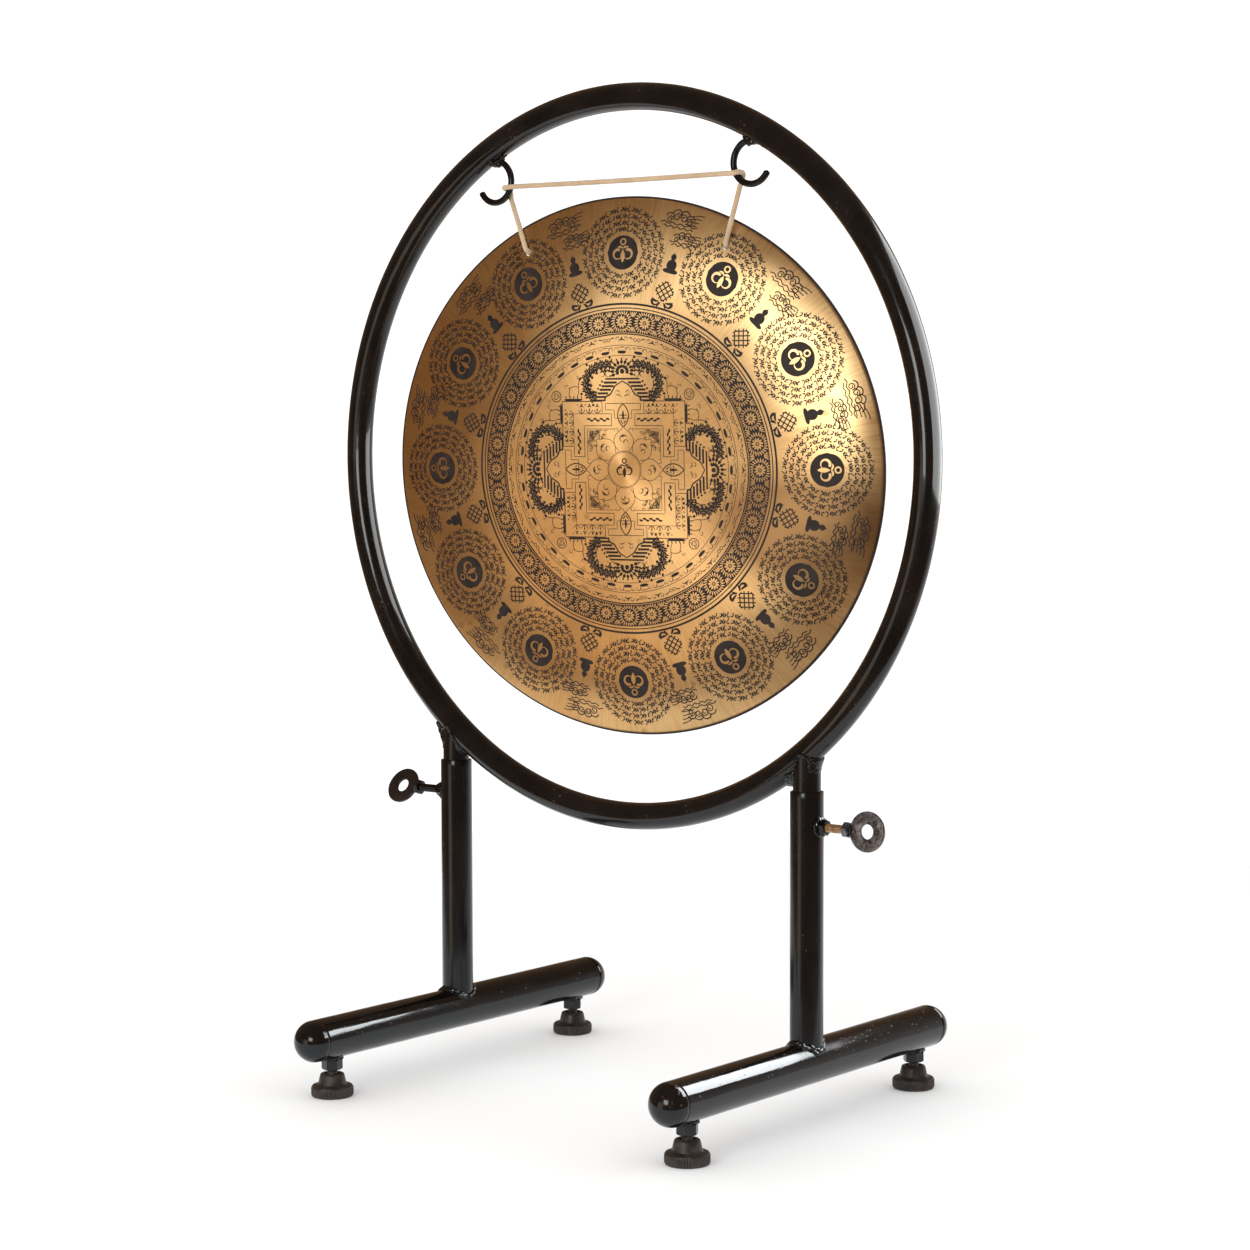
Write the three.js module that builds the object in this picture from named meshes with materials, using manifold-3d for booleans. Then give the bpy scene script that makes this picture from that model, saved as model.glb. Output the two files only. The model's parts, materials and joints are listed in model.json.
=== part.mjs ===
// Tam tam: an engraved bronze gong hung on a cord inside a round steel hoop, which stands on two legs.
// The hoop's stubs slide in the leg tubes and are held by clamp screws; each leg stands on two screw feet.
// Millimetres. +X runs along the hoop's plane, -Y is the engraved front, +Z is up, and z = 0 is the floor.
import * as THREE from "three";
import { mergeVertices } from "three/addons/utils/BufferGeometryUtils.js";
import Module from "manifold-3d";

const wasm = await Module();
wasm.setup();

// Driving dimensions.
const GAP = 0.3; // between pieces that touch
const HOOP = { radius: 331, tube: 12.5, wall: 1.5, centreZ: 592 };
const LEG = { x: 206.5, radius: 15, wall: 1.8, top: 299 };
const STUB = { radius: 12.5, wall: 2, bottom: 130, top: 333 };
const BASE = { radius: 19.5, wall: 2, tubeLength: 400, axisZ: 55 };
const VENT_RADIUS = 3; // lets the hoop's hollow breathe into the stubs
const FOOT = {
  y: 178,
  knobRadius: 19.8,
  knobHeight: 10.5,
  coneBase: 13.2,
  coneTop: 11.2,
  coneHeight: 11,
  studRadius: 4.8,
  studBottom: 6,
  studTop: 50,
  nutFlats: 17,
  nutHeight: 10,
};
const CLAMP = {
  z: 268,
  shankRadius: 3.9,
  flats: 13,
  nutHeight: 6.5,
  headHeight: 5.3,
  ringRadius: 18,
  ringHole: 6.5,
  ringThickness: 3,
};
// Per side: how far the screw head stands from the leg's axis, and how its ring has come to rest.
const CLAMP_REACH = { left: 46, right: 40.5 };
const RING_TURN_DEG = { left: -31, right: -5 };
const HOOK = { rod: 3, radius: 19.5, startDeg: -24, endDeg: 244 };
const HOOK_CENTRE = { left: [-152, 853.5], right: [146, 856] };
const GONG = {
  radius: 250,
  thickness: 2.2,
  rise: 20,
  centre: [-0.2, 17.5, 583.3],
  yawDeg: 11.44,
  leanDeg: 2.95,
  holeRadius: 4,
  holeCircle: 226,
  holeDeg: 26.6,
};
const CORD_RADIUS = 2.25;
const KNOT = { radius: 6.2, height: 9.5, standOff: 0.8 };

// The cord's route: across in front of the hooks, round each hook's rod, and down behind it.
const CORD_RUN = [
  [-138.3, 6.2, 838.2],
  [-137.9, 5.9, 839.8],
  [-137.6, 5.5, 841.6],
  [-139, 4, 844.6],
  [-139.8, 0, 846.6],
  [-137.9, -4, 847.1],
  [-133.6, -5.7, 847.3],
  [-126, -6, 847.5],
  [-90, -6, 847.2],
  [-45, -6, 846.8],
  [0, -6, 846.5],
  [45, -6, 846.4],
  [90, -6, 846.5],
  [121, -6, 846.6],
  [128.8, -5.7, 846.6],
  [132.9, -4, 847.3],
  [134.9, 0, 847.4],
  [134, 4, 845.8],
  [132, 5.7, 842.6],
  [131, 6.2, 840.3],
  [130.2, 6.4, 838.2],
];
// From the left hook over the gong's edge and through the left hole; from the right hook to the right hole.
const CORD_DROP = {
  left: [
    [-136.6, 5.1, 835.9],
    [-134.6, 3.5, 834],
    [-127, -2.6, 827],
    [-118, -9.8, 818.5],
    [-110.4, -15.9, 811.5],
    [-107.4, -18.3, 808.7],
    [-106.2, -18.9, 806.3],
    [-104.6, -19.4, 803],
    [-101.3, -20.5, 796.6],
    [-98.8, -21.4, 791.5],
    [-97.3, -22, 788.6],
    [-96.4, -21.4, 786.5],
    [-96.3, -19.5, 785.4],
    [-96.4, -17.8, 785.1],
    [-96.6, -16.5, 785.1],
  ],
  right: [
    [129.2, 6.5, 836.8],
    [122.9, 9.6, 824.5],
    [116.5, 12.7, 812.1],
    [110.2, 15.8, 799.8],
    [106.4, 17.7, 792.4],
    [104.2, 18.7, 788.2],
    [103.4, 19.2, 786.5],
    [102.7, 20.8, 785.4],
    [102.2, 22.4, 785.1],
    [101.9, 23.6, 785.1],
  ],
};

const SIDES = { left: -1, right: 1 };
const ENDS = { front: -1, back: 1 };

const PAINT = { color: 0x0b0a0a, roughness: 0.28, metalness: 0.1 };
const MATERIAL = {
  enamel: new THREE.MeshStandardMaterial(PAINT),
  bronze: new THREE.MeshStandardMaterial({ color: 0xc89248, roughness: 0.4, metalness: 0.9 }),
  cotton: new THREE.MeshStandardMaterial({ color: 0xe2c9a2, roughness: 0.95, metalness: 0 }),
  plastic: new THREE.MeshStandardMaterial({ color: 0x241c1a, roughness: 0.55, metalness: 0 }),
  screw: new THREE.MeshStandardMaterial({ color: 0xa8743c, roughness: 0.45, metalness: 0.85 }),
};

const deg = THREE.MathUtils.degToRad;

// A mesh's geometry as a solid that manifold-3d can cut.
function solid(geometry) {
  const bare = geometry.clone();
  bare.deleteAttribute("normal");
  bare.deleteAttribute("uv");
  const merged = mergeVertices(bare, 1e-4);
  return new wasm.Manifold(
    new wasm.Mesh({
      numProp: 3,
      vertProperties: merged.attributes.position.array,
      triVerts: new Uint32Array(merged.index.array),
    }),
  );
}

function geometryOf(manifold) {
  const mesh = manifold.getMesh();
  const geometry = new THREE.BufferGeometry();
  geometry.setAttribute("position", new THREE.BufferAttribute(mesh.vertProperties, 3));
  geometry.setIndex(new THREE.BufferAttribute(mesh.triVerts, 1));
  return geometry;
}

// A named piece; its place and turn are set by the caller.
function piece(name, geometry, material) {
  const mesh = new THREE.Mesh(geometry, material);
  mesh.name = name;
  return mesh;
}

// A profile of [radius, height] pairs turned about +Z.
function turned(profile, segments) {
  const points = profile.map(([radius, height]) => new THREE.Vector2(radius, height));
  return new THREE.LatheGeometry(points, segments).rotateX(Math.PI / 2);
}

function cylinder(radius, bottom, top, segments = 24) {
  return turned(
    [
      [0, bottom],
      [radius, bottom],
      [radius, top],
      [0, top],
    ],
    segments,
  );
}

// A tube about +Z, open at both ends.
function pipe(outer, inner, bottom, top, segments = 28) {
  return turned(
    [
      [inner, bottom],
      [outer, bottom],
      [outer, top],
      [inner, top],
      [inner, bottom],
    ],
    segments,
  );
}

// A hexagon with a round hole, standing on z = 0; flats is the width across its flats.
function hexagon(flats, height, holeRadius) {
  const shape = new THREE.Shape();
  const corner = flats / Math.sqrt(3);
  for (let i = 0; i < 6; i += 1) {
    const angle = (i * Math.PI) / 3;
    const x = corner * Math.cos(angle);
    const y = corner * Math.sin(angle);
    if (i === 0) shape.moveTo(x, y);
    else shape.lineTo(x, y);
  }
  shape.closePath();
  if (holeRadius > 0) {
    const hole = new THREE.Path();
    hole.absarc(0, 0, holeRadius, 0, 2 * Math.PI, true);
    shape.holes.push(hole);
  }
  return new THREE.ExtrudeGeometry(shape, { depth: height, bevelEnabled: false, curveSegments: 10 });
}

// A round bar along a curve, closed at both ends.
function bar(curve, radius, steps, sides) {
  const section = new THREE.Shape();
  section.absarc(0, 0, radius, 0, 2 * Math.PI, false);
  return new THREE.ExtrudeGeometry(section, { steps, curveSegments: sides / 2, extrudePath: curve });
}

// A ring about the Y axis at the hoop's height.
function ringSolid(tubeRadius, tubeSegments, segments) {
  const ring = new THREE.TorusGeometry(HOOP.radius, tubeRadius, tubeSegments, segments);
  return solid(ring.rotateX(Math.PI / 2).translate(0, 0, HOOP.centreZ));
}

const hoopClearance = ringSolid(HOOP.tube + GAP, 20, 120);

// The hoop: one tube bent into a closed ring, with a vent into each stub.
function hoopTube() {
  let hoop = ringSolid(HOOP.tube, 16, 80).subtract(ringSolid(HOOP.tube - HOOP.wall, 8, 80));
  for (const side of Object.values(SIDES)) {
    const vent = cylinder(VENT_RADIUS, LEG.top, STUB.top, 12).translate(side * LEG.x, 0, 0);
    hoop = hoop.subtract(solid(vent));
  }
  return piece("hoop_tube", geometryOf(hoop), MATERIAL.enamel);
}

// A stub: the short inner tube under the hoop, coped to its underside.
function stub(name, side) {
  const tube = pipe(STUB.radius, STUB.radius - STUB.wall, STUB.bottom, STUB.top);
  const placed = solid(tube.translate(side * LEG.x, 0, 0));
  return piece(name, geometryOf(placed.subtract(hoopClearance)), MATERIAL.enamel);
}

// The centre line of a hook: an arc in the hoop's plane, from the weld on top, round by the gong's side.
class HookArc extends THREE.Curve {
  constructor(side, centre) {
    super();
    this.side = side;
    this.centre = centre;
  }

  getPoint(t) {
    const angle = deg(THREE.MathUtils.lerp(HOOK.startDeg, HOOK.endDeg, t));
    const [x, z] = this.centre;
    const across = -this.side * HOOK.radius * Math.sin(angle);
    return new THREE.Vector3(x + across, 0, z + HOOK.radius * Math.cos(angle));
  }
}

function hook(name, side, centre) {
  const rod = bar(new HookArc(side, centre), HOOK.rod, 26, 12);
  return piece(name, geometryOf(solid(rod).subtract(hoopClearance)), MATERIAL.enamel);
}

// How far the gong's front face stands out of its rim's plane at a radius.
function gongRise(radius) {
  return GONG.rise * (1 - (radius / GONG.radius) ** 4);
}

// The gong: a shallow dish with a gently rolled edge, facing -Y before it is turned.
function gongPlate() {
  const radii = [0, 60, 110, 150, 182, 208, 230, GONG.radius];
  const front = radii.map((radius) => [radius, gongRise(radius)]);
  const back = radii.map((radius) => [radius, gongRise(radius) - GONG.thickness]).reverse();
  const dish = turned([...front, ...back].reverse(), 72);
  let plate = solid(dish);
  for (const side of Object.values(SIDES)) {
    const angle = deg(GONG.holeDeg);
    const hole = cylinder(GONG.holeRadius, -GONG.rise, 2 * GONG.rise, 16);
    const x = side * GONG.holeCircle * Math.sin(angle);
    hole.translate(x, GONG.holeCircle * Math.cos(angle), 0);
    plate = plate.subtract(solid(hole));
  }
  const mesh = piece("gong_plate", geometryOf(plate).rotateX(Math.PI / 2), MATERIAL.bronze);
  return placeOnGong(mesh);
}

// Turns a piece made in the gong's own frame into the gong's hanging place.
function placeOnGong(mesh) {
  mesh.rotation.set(deg(GONG.leanDeg), 0, deg(GONG.yawDeg), "ZYX");
  mesh.position.set(...GONG.centre);
  return mesh;
}

// A knot: a rounded bead that bears on the gong's back behind its hole.
function knot(name, side) {
  const angle = deg(GONG.holeDeg);
  const bead = [];
  const steps = 8;
  for (let i = 0; i <= steps; i += 1) {
    const turn = (i / steps) * Math.PI;
    bead.push([KNOT.radius * Math.sin(turn), (-KNOT.height / 2) * Math.cos(turn)]);
  }
  bead[0][0] = 0;
  bead[steps][0] = 0;
  const geometry = turned(bead, 16).rotateX(Math.PI / 2);
  const back = GONG.thickness - gongRise(GONG.holeCircle);
  const x = side * GONG.holeCircle * Math.sin(angle);
  geometry.translate(x, back + KNOT.standOff + KNOT.height / 2, GONG.holeCircle * Math.cos(angle));
  return placeOnGong(piece(name, geometry, MATERIAL.cotton));
}

function cord(name, points, steps) {
  const route = new THREE.CatmullRomCurve3(points.map((point) => new THREE.Vector3(...point)));
  return piece(name, bar(route, CORD_RADIUS, steps, 8), MATERIAL.cotton);
}

// A leg's upright: coped onto the base tube, with a hole for the clamp screw.
function legTube(name, side) {
  const tube = solid(pipe(LEG.radius, LEG.radius - LEG.wall, BASE.axisZ, LEG.top));
  const baseClearance = cylinder(BASE.radius + GAP, -60, 60, 40).rotateX(Math.PI / 2);
  baseClearance.translate(0, 0, BASE.axisZ);
  const screwHole = cylinder(CLAMP.shankRadius + 0.5, 0, 2 * LEG.radius, 16).rotateY((side * Math.PI) / 2);
  screwHole.translate(0, 0, CLAMP.z);
  const upright = tube.subtract(solid(baseClearance)).subtract(solid(screwHole));
  return piece(name, geometryOf(upright), MATERIAL.enamel);
}

// A base: a straight tube along Y, drilled underneath for its two foot studs.
function baseTube(name) {
  const half = BASE.tubeLength / 2;
  const tube = pipe(BASE.radius, BASE.radius - BASE.wall, -half, half, 32).rotateX(Math.PI / 2);
  tube.translate(0, 0, BASE.axisZ);
  let base = solid(tube);
  for (const end of Object.values(ENDS)) {
    const hole = cylinder(FOOT.studRadius + 0.8, 0, BASE.axisZ, 16).translate(0, end * FOOT.y, 0);
    base = base.subtract(solid(hole));
  }
  return piece(name, geometryOf(base), MATERIAL.enamel);
}

// A base tube's end: a thin half ball, open towards the tube.
function endCap(name, end) {
  const outer = BASE.radius;
  const inner = BASE.radius - BASE.wall;
  const steps = 5;
  const profile = [];
  for (let i = 0; i <= steps; i += 1) {
    const turn = ((i / steps) * Math.PI) / 2;
    profile.push([outer * Math.cos(turn), outer * Math.sin(turn)]);
  }
  for (let i = steps; i >= 0; i -= 1) {
    const turn = ((i / steps) * Math.PI) / 2;
    profile.push([inner * Math.cos(turn), inner * Math.sin(turn)]);
  }
  profile[steps][0] = 0;
  profile[steps + 1][0] = 0;
  profile.push([outer, 0]);
  const dome = turned(profile, 32).rotateX((-end * Math.PI) / 2);
  const start = BASE.tubeLength / 2 + GAP;
  return piece(name, dome.translate(0, end * start, BASE.axisZ), MATERIAL.enamel);
}

function footNut(name) {
  const top = BASE.axisZ - BASE.radius - GAP;
  const nut = hexagon(FOOT.nutFlats, FOOT.nutHeight, FOOT.studRadius + 0.4);
  return piece(name, nut.translate(0, 0, top - FOOT.nutHeight), MATERIAL.enamel);
}

function footStud(name) {
  const stud = cylinder(FOOT.studRadius, FOOT.studBottom + GAP, FOOT.studTop, 20);
  return piece(name, stud, MATERIAL.enamel);
}

// A foot's knob: a wheel and a cone above it, moulded in one, with a blind bore for the stud.
function footKnob(name) {
  const coneFoot = FOOT.knobHeight;
  const coneHead = FOOT.knobHeight + FOOT.coneHeight;
  const bore = FOOT.studRadius + GAP;
  const profile = [
    [0, 0],
    [FOOT.knobRadius - 1, 0],
    [FOOT.knobRadius, 1],
    [FOOT.knobRadius, coneFoot - 1],
    [FOOT.knobRadius - 1, coneFoot],
    [FOOT.coneBase, coneFoot],
    [FOOT.coneTop, coneHead - 1.5],
    [FOOT.coneTop - 1.5, coneHead],
    [bore, coneHead],
    [bore, FOOT.studBottom],
    [0, FOOT.studBottom],
  ];
  return piece(name, turned(profile, 32), MATERIAL.plastic);
}

// The clamp's pieces are made along +Z, outward, and laid along +X or -X at the clamp's height.
function alongClamp(geometry, side) {
  return geometry.rotateY((side * Math.PI) / 2).translate(0, 0, CLAMP.z);
}

function clampNut(name, side) {
  const nut = hexagon(CLAMP.flats, CLAMP.nutHeight, CLAMP.shankRadius + 0.4);
  return piece(name, alongClamp(nut.translate(0, 0, LEG.radius + GAP), side), MATERIAL.enamel);
}

function clampShank(name, side, reach) {
  const shank = cylinder(CLAMP.shankRadius, STUB.radius + GAP, reach - GAP, 20);
  return piece(name, alongClamp(shank, side), MATERIAL.screw);
}

function clampHead(name, side, reach) {
  const head = hexagon(CLAMP.flats, CLAMP.headHeight, 0).translate(0, 0, reach);
  return piece(name, alongClamp(head, side), MATERIAL.enamel);
}

// The big washer stood on edge against the screw head, as its handle.
function clampRing(name, side, reach, turnDeg) {
  const half = CLAMP.ringThickness / 2;
  const ring = pipe(CLAMP.ringRadius, CLAMP.ringHole, -half, half, 32).rotateX(Math.PI / 2);
  const centre = reach + CLAMP.headHeight + GAP + CLAMP.ringRadius;
  ring.rotateX(deg(turnDeg)).translate(side * centre, 0, CLAMP.z);
  return piece(name, ring, MATERIAL.enamel);
}

// One side's leg, base, feet and clamp, in a group at the leg's place.
function legAssembly(sideName, side) {
  const leg = new THREE.Group();
  leg.add(legTube(`${sideName}_leg_tube`, side));
  leg.add(baseTube(`${sideName}_base_tube`));
  for (const [endName, end] of Object.entries(ENDS)) {
    const corner = `${endName}_${sideName}`;
    leg.add(endCap(`${corner}_end_cap`, end));
    const foot = new THREE.Group();
    foot.add(footNut(`${corner}_foot_nut`));
    foot.add(footStud(`${corner}_foot_stud`));
    foot.add(footKnob(`${corner}_foot_knob`));
    foot.position.y = end * FOOT.y;
    leg.add(foot);
  }
  const reach = CLAMP_REACH[sideName];
  leg.add(clampNut(`${sideName}_clamp_nut`, side));
  leg.add(clampShank(`${sideName}_clamp_shank`, side, reach));
  leg.add(clampHead(`${sideName}_clamp_head`, side, reach));
  leg.add(clampRing(`${sideName}_clamp_ring`, side, reach, RING_TURN_DEG[sideName]));
  leg.position.x = side * LEG.x;
  return leg;
}

const tamTam = new THREE.Group();
tamTam.add(hoopTube());
tamTam.add(gongPlate());
tamTam.add(cord("cord_run", CORD_RUN, 72));
for (const [sideName, side] of Object.entries(SIDES)) {
  tamTam.add(stub(`${sideName}_stub`, side));
  tamTam.add(hook(`${sideName}_hook`, side, HOOK_CENTRE[sideName]));
  tamTam.add(cord(`${sideName}_cord_drop`, CORD_DROP[sideName], 40));
  tamTam.add(knot(`${sideName}_knot`, side));
  tamTam.add(legAssembly(sideName, side));
}

export default tamTam;
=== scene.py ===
"""Looks for a tam tam: an engraved bronze gong on a cord, in a black enamelled hoop on two legs.

Metres, in the CAD frame: +X along the hoop, -Y the engraved front, +Z up, floor at z = 0.
"""

import json
import math
import random

import bmesh
import bpy
import numpy as np
from mathutils import Matrix, Vector, noise

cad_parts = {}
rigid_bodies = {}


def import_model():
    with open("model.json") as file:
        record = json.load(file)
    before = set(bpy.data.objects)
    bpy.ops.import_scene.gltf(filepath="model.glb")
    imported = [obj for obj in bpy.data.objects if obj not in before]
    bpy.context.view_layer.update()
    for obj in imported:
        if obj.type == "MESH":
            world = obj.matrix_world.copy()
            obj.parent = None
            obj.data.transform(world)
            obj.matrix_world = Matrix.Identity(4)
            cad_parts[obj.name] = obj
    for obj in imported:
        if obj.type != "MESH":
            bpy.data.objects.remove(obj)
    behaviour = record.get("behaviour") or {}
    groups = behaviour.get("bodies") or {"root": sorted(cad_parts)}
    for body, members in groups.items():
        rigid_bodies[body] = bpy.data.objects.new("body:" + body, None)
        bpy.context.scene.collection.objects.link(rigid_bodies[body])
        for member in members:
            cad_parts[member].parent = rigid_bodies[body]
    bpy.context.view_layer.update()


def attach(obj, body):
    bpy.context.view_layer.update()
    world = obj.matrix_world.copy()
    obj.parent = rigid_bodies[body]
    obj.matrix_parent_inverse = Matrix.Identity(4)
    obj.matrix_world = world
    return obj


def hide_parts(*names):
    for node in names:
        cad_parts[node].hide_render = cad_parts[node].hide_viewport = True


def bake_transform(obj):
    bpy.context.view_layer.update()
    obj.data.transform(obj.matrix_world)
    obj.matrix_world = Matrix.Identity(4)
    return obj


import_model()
MM = 0.001


def spin(degrees, axis):
    """A turn about one axis, as a 4x4 matrix."""
    return Matrix.Rotation(math.radians(degrees), 4, axis)


# ---------------------------------------------------------------- camera

PHOTO_LENS = 84.1
CAMERA_AT = (1.6631, -2.1280, 0.6272)
CAMERA_YAW, CAMERA_PITCH, CAMERA_ROLL = 37.97, -4.0, -0.154


def add_camera():
    """The photo's camera."""
    data = bpy.data.cameras.new("camera")
    data.sensor_width = 36.0
    data.lens = PHOTO_LENS
    data.clip_end = 50.0
    camera = bpy.data.objects.new("camera", data)
    bpy.context.scene.collection.objects.link(camera)
    turn = spin(CAMERA_YAW, "Z") @ spin(90 + CAMERA_PITCH, "X") @ spin(CAMERA_ROLL, "Z")
    camera.matrix_world = Matrix.Translation(CAMERA_AT) @ turn
    bpy.context.scene.camera = camera


add_camera()


# ---------------------------------------------------------------- mesh helpers


def mesh_piece(name, verts, faces, material, body, smooth=True):
    """A mesh piece from vertices in metres, riding on a body."""
    mesh = bpy.data.meshes.new(name)
    mesh.from_pydata([tuple(v) for v in verts], [], [tuple(f) for f in faces])
    mesh.update()
    if smooth:
        mesh.shade_smooth()
    obj = bpy.data.objects.new(name, mesh)
    bpy.context.scene.collection.objects.link(obj)
    mesh.materials.append(material)
    if body:
        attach(obj, body)
    return obj


def sharpen(obj, degrees):
    """Keeps edges sharper than this angle crisp on a smooth-shaded piece."""
    obj.data.set_sharp_from_angle(angle=math.radians(degrees))


def grid_faces(rows, cols, wrap_rows=False):
    """Quads over a rows x cols grid of vertices, numbered row by row. The columns close on themselves."""
    faces = []
    for i in range(rows if wrap_rows else rows - 1):
        for j in range(cols):
            i2, j2 = (i + 1) % rows, (j + 1) % cols
            faces.append((i * cols + j, i * cols + j2, i2 * cols + j2, i2 * cols + j))
    return faces


def frame_along(points, closed=False):
    """Tangent and two normals at each point of a path, turned as little as possible between points."""
    points = np.asarray(points, float)
    if closed:
        tangents = np.roll(points, -1, 0) - np.roll(points, 1, 0)
    else:
        tangents = np.gradient(points, axis=0)
    tangents /= np.linalg.norm(tangents, axis=1)[:, None]
    normal = np.cross(tangents[0], (0.0, 0.0, 1.0))
    if np.linalg.norm(normal) < 0.1:
        normal = np.cross(tangents[0], (0.0, 1.0, 0.0))
    normals = []
    for tangent in tangents:
        normal = normal - tangent * normal.dot(tangent)
        normal /= np.linalg.norm(normal)
        normals.append(normal.copy())
    normals = np.array(normals)
    return tangents, normals, np.cross(tangents, normals)


def tube_mesh(points, radius_at, sides, closed=False):
    """Vertices and faces of a tube along points. radius_at(i, angles) gives each ring's radii."""
    points = np.asarray(points, float)
    _, normals, binormals = frame_along(points, closed)
    angles = np.linspace(0, 2 * math.pi, sides, endpoint=False)
    rings = []
    for i, point in enumerate(points):
        radii = np.broadcast_to(radius_at(i, angles), angles.shape)[:, None]
        around = np.cos(angles)[:, None] * normals[i] + np.sin(angles)[:, None] * binormals[i]
        rings.append(point + around * radii)
    verts = np.concatenate(rings)
    faces = grid_faces(len(points), sides, wrap_rows=closed)
    if not closed:
        faces.append(tuple(range(sides))[::-1])
        last = (len(points) - 1) * sides
        faces.append(tuple(range(last, last + sides)))
    faces = [face[::-1] for face in faces]
    return verts, faces


def turned_mesh(profile, segments, radius_wobble=None):
    """A profile of (radius, height) pairs turned about +Z. Ends on the axis close to a point."""
    verts, faces, rows = [], [], []
    for k, (radius, height) in enumerate(profile):
        if radius < 1e-7:
            rows.append([len(verts)] * segments)
            verts.append((0.0, 0.0, height))
            continue
        rows.append(list(range(len(verts), len(verts) + segments)))
        for j in range(segments):
            a = 2 * math.pi * j / segments
            r = radius * (1 + (radius_wobble(k, a) if radius_wobble else 0))
            verts.append((r * math.cos(a), r * math.sin(a), height))
    closed = profile[0] == profile[-1]
    if closed:
        rows[-1] = rows[0]
    for low, high in zip(rows, rows[1:]):
        for j in range(segments):
            j2 = (j + 1) % segments
            face = []
            for index in (low[j], low[j2], high[j2], high[j]):
                if index not in face:
                    face.append(index)
            if len(face) > 2:
                faces.append(tuple(face))
    return np.array(verts), faces


def joined(parts):
    """Several (verts, faces) parts as one."""
    verts, faces, count = [], [], 0
    for part_verts, part_faces in parts:
        verts.append(np.asarray(part_verts))
        faces += [tuple(index + count for index in face) for face in part_faces]
        count += len(part_verts)
    return np.concatenate(verts), faces


def moved(verts, matrix):
    """Vertices after a 4x4 matrix."""
    m = np.array(matrix)
    return np.asarray(verts) @ m[:3, :3].T + m[:3, 3]


def resampled(points, step):
    """A smooth path through points (centripetal Catmull-Rom), at even steps."""
    p = np.asarray(points, float)
    p = np.vstack([2 * p[0] - p[1], p, 2 * p[-1] - p[-2]])
    dense = []
    for i in range(1, len(p) - 2):
        p0, p1, p2, p3 = p[i - 1 : i + 3]
        t0 = 0.0
        t1 = t0 + math.sqrt(np.linalg.norm(p1 - p0))
        t2 = t1 + math.sqrt(np.linalg.norm(p2 - p1))
        t3 = t2 + math.sqrt(np.linalg.norm(p3 - p2))
        for t in np.linspace(t1, t2, 16, endpoint=False):
            a1 = (t1 - t) / (t1 - t0) * p0 + (t - t0) / (t1 - t0) * p1
            a2 = (t2 - t) / (t2 - t1) * p1 + (t - t1) / (t2 - t1) * p2
            a3 = (t3 - t) / (t3 - t2) * p2 + (t - t2) / (t3 - t2) * p3
            b1 = (t2 - t) / (t2 - t0) * a1 + (t - t0) / (t2 - t0) * a2
            b2 = (t3 - t) / (t3 - t1) * a2 + (t - t1) / (t3 - t1) * a3
            dense.append((t2 - t) / (t2 - t1) * b1 + (t - t1) / (t2 - t1) * b2)
    dense.append(p[-2])
    dense = np.array(dense)
    lengths = np.concatenate([[0], np.cumsum(np.linalg.norm(np.diff(dense, axis=0), axis=1))])
    count = max(2, int(round(lengths[-1] / step)) + 1)
    at = np.linspace(0, lengths[-1], count)
    return np.stack([np.interp(at, lengths, dense[:, k]) for k in range(3)], axis=1)


def smooth_noise(x, y=0.0, z=0.0):
    """Perlin noise, -1 to 1, the same on every run."""
    return noise.noise(Vector((x, y, z)))


# ---------------------------------------------------------------- materials


# Where the Mix node keeps its colour sockets.
MIX_FACTOR, MIX_A, MIX_B, MIX_COLOR = 0, 6, 7, 2


def add_node(tree, kind, inputs=None, **properties):
    """A shader node with its settings and inputs. An input that is a socket is linked."""
    made = tree.nodes.new(kind)
    for key, value in properties.items():
        setattr(made, key, value)
    for key, value in (inputs or {}).items():
        if isinstance(value, bpy.types.NodeSocket):
            tree.links.new(value, made.inputs[key])
        else:
            made.inputs[key].default_value = value
    return made


def mixed(tree, factor, a, b):
    """From colour a to colour b by a factor. Each colour is a socket or three numbers."""
    a, b = [v if isinstance(v, bpy.types.NodeSocket) else (*v, 1.0) for v in (a, b)]
    inputs = {MIX_FACTOR: factor, MIX_A: a, MIX_B: b}
    return add_node(tree, "ShaderNodeMix", inputs, data_type="RGBA").outputs[MIX_COLOR]


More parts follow.
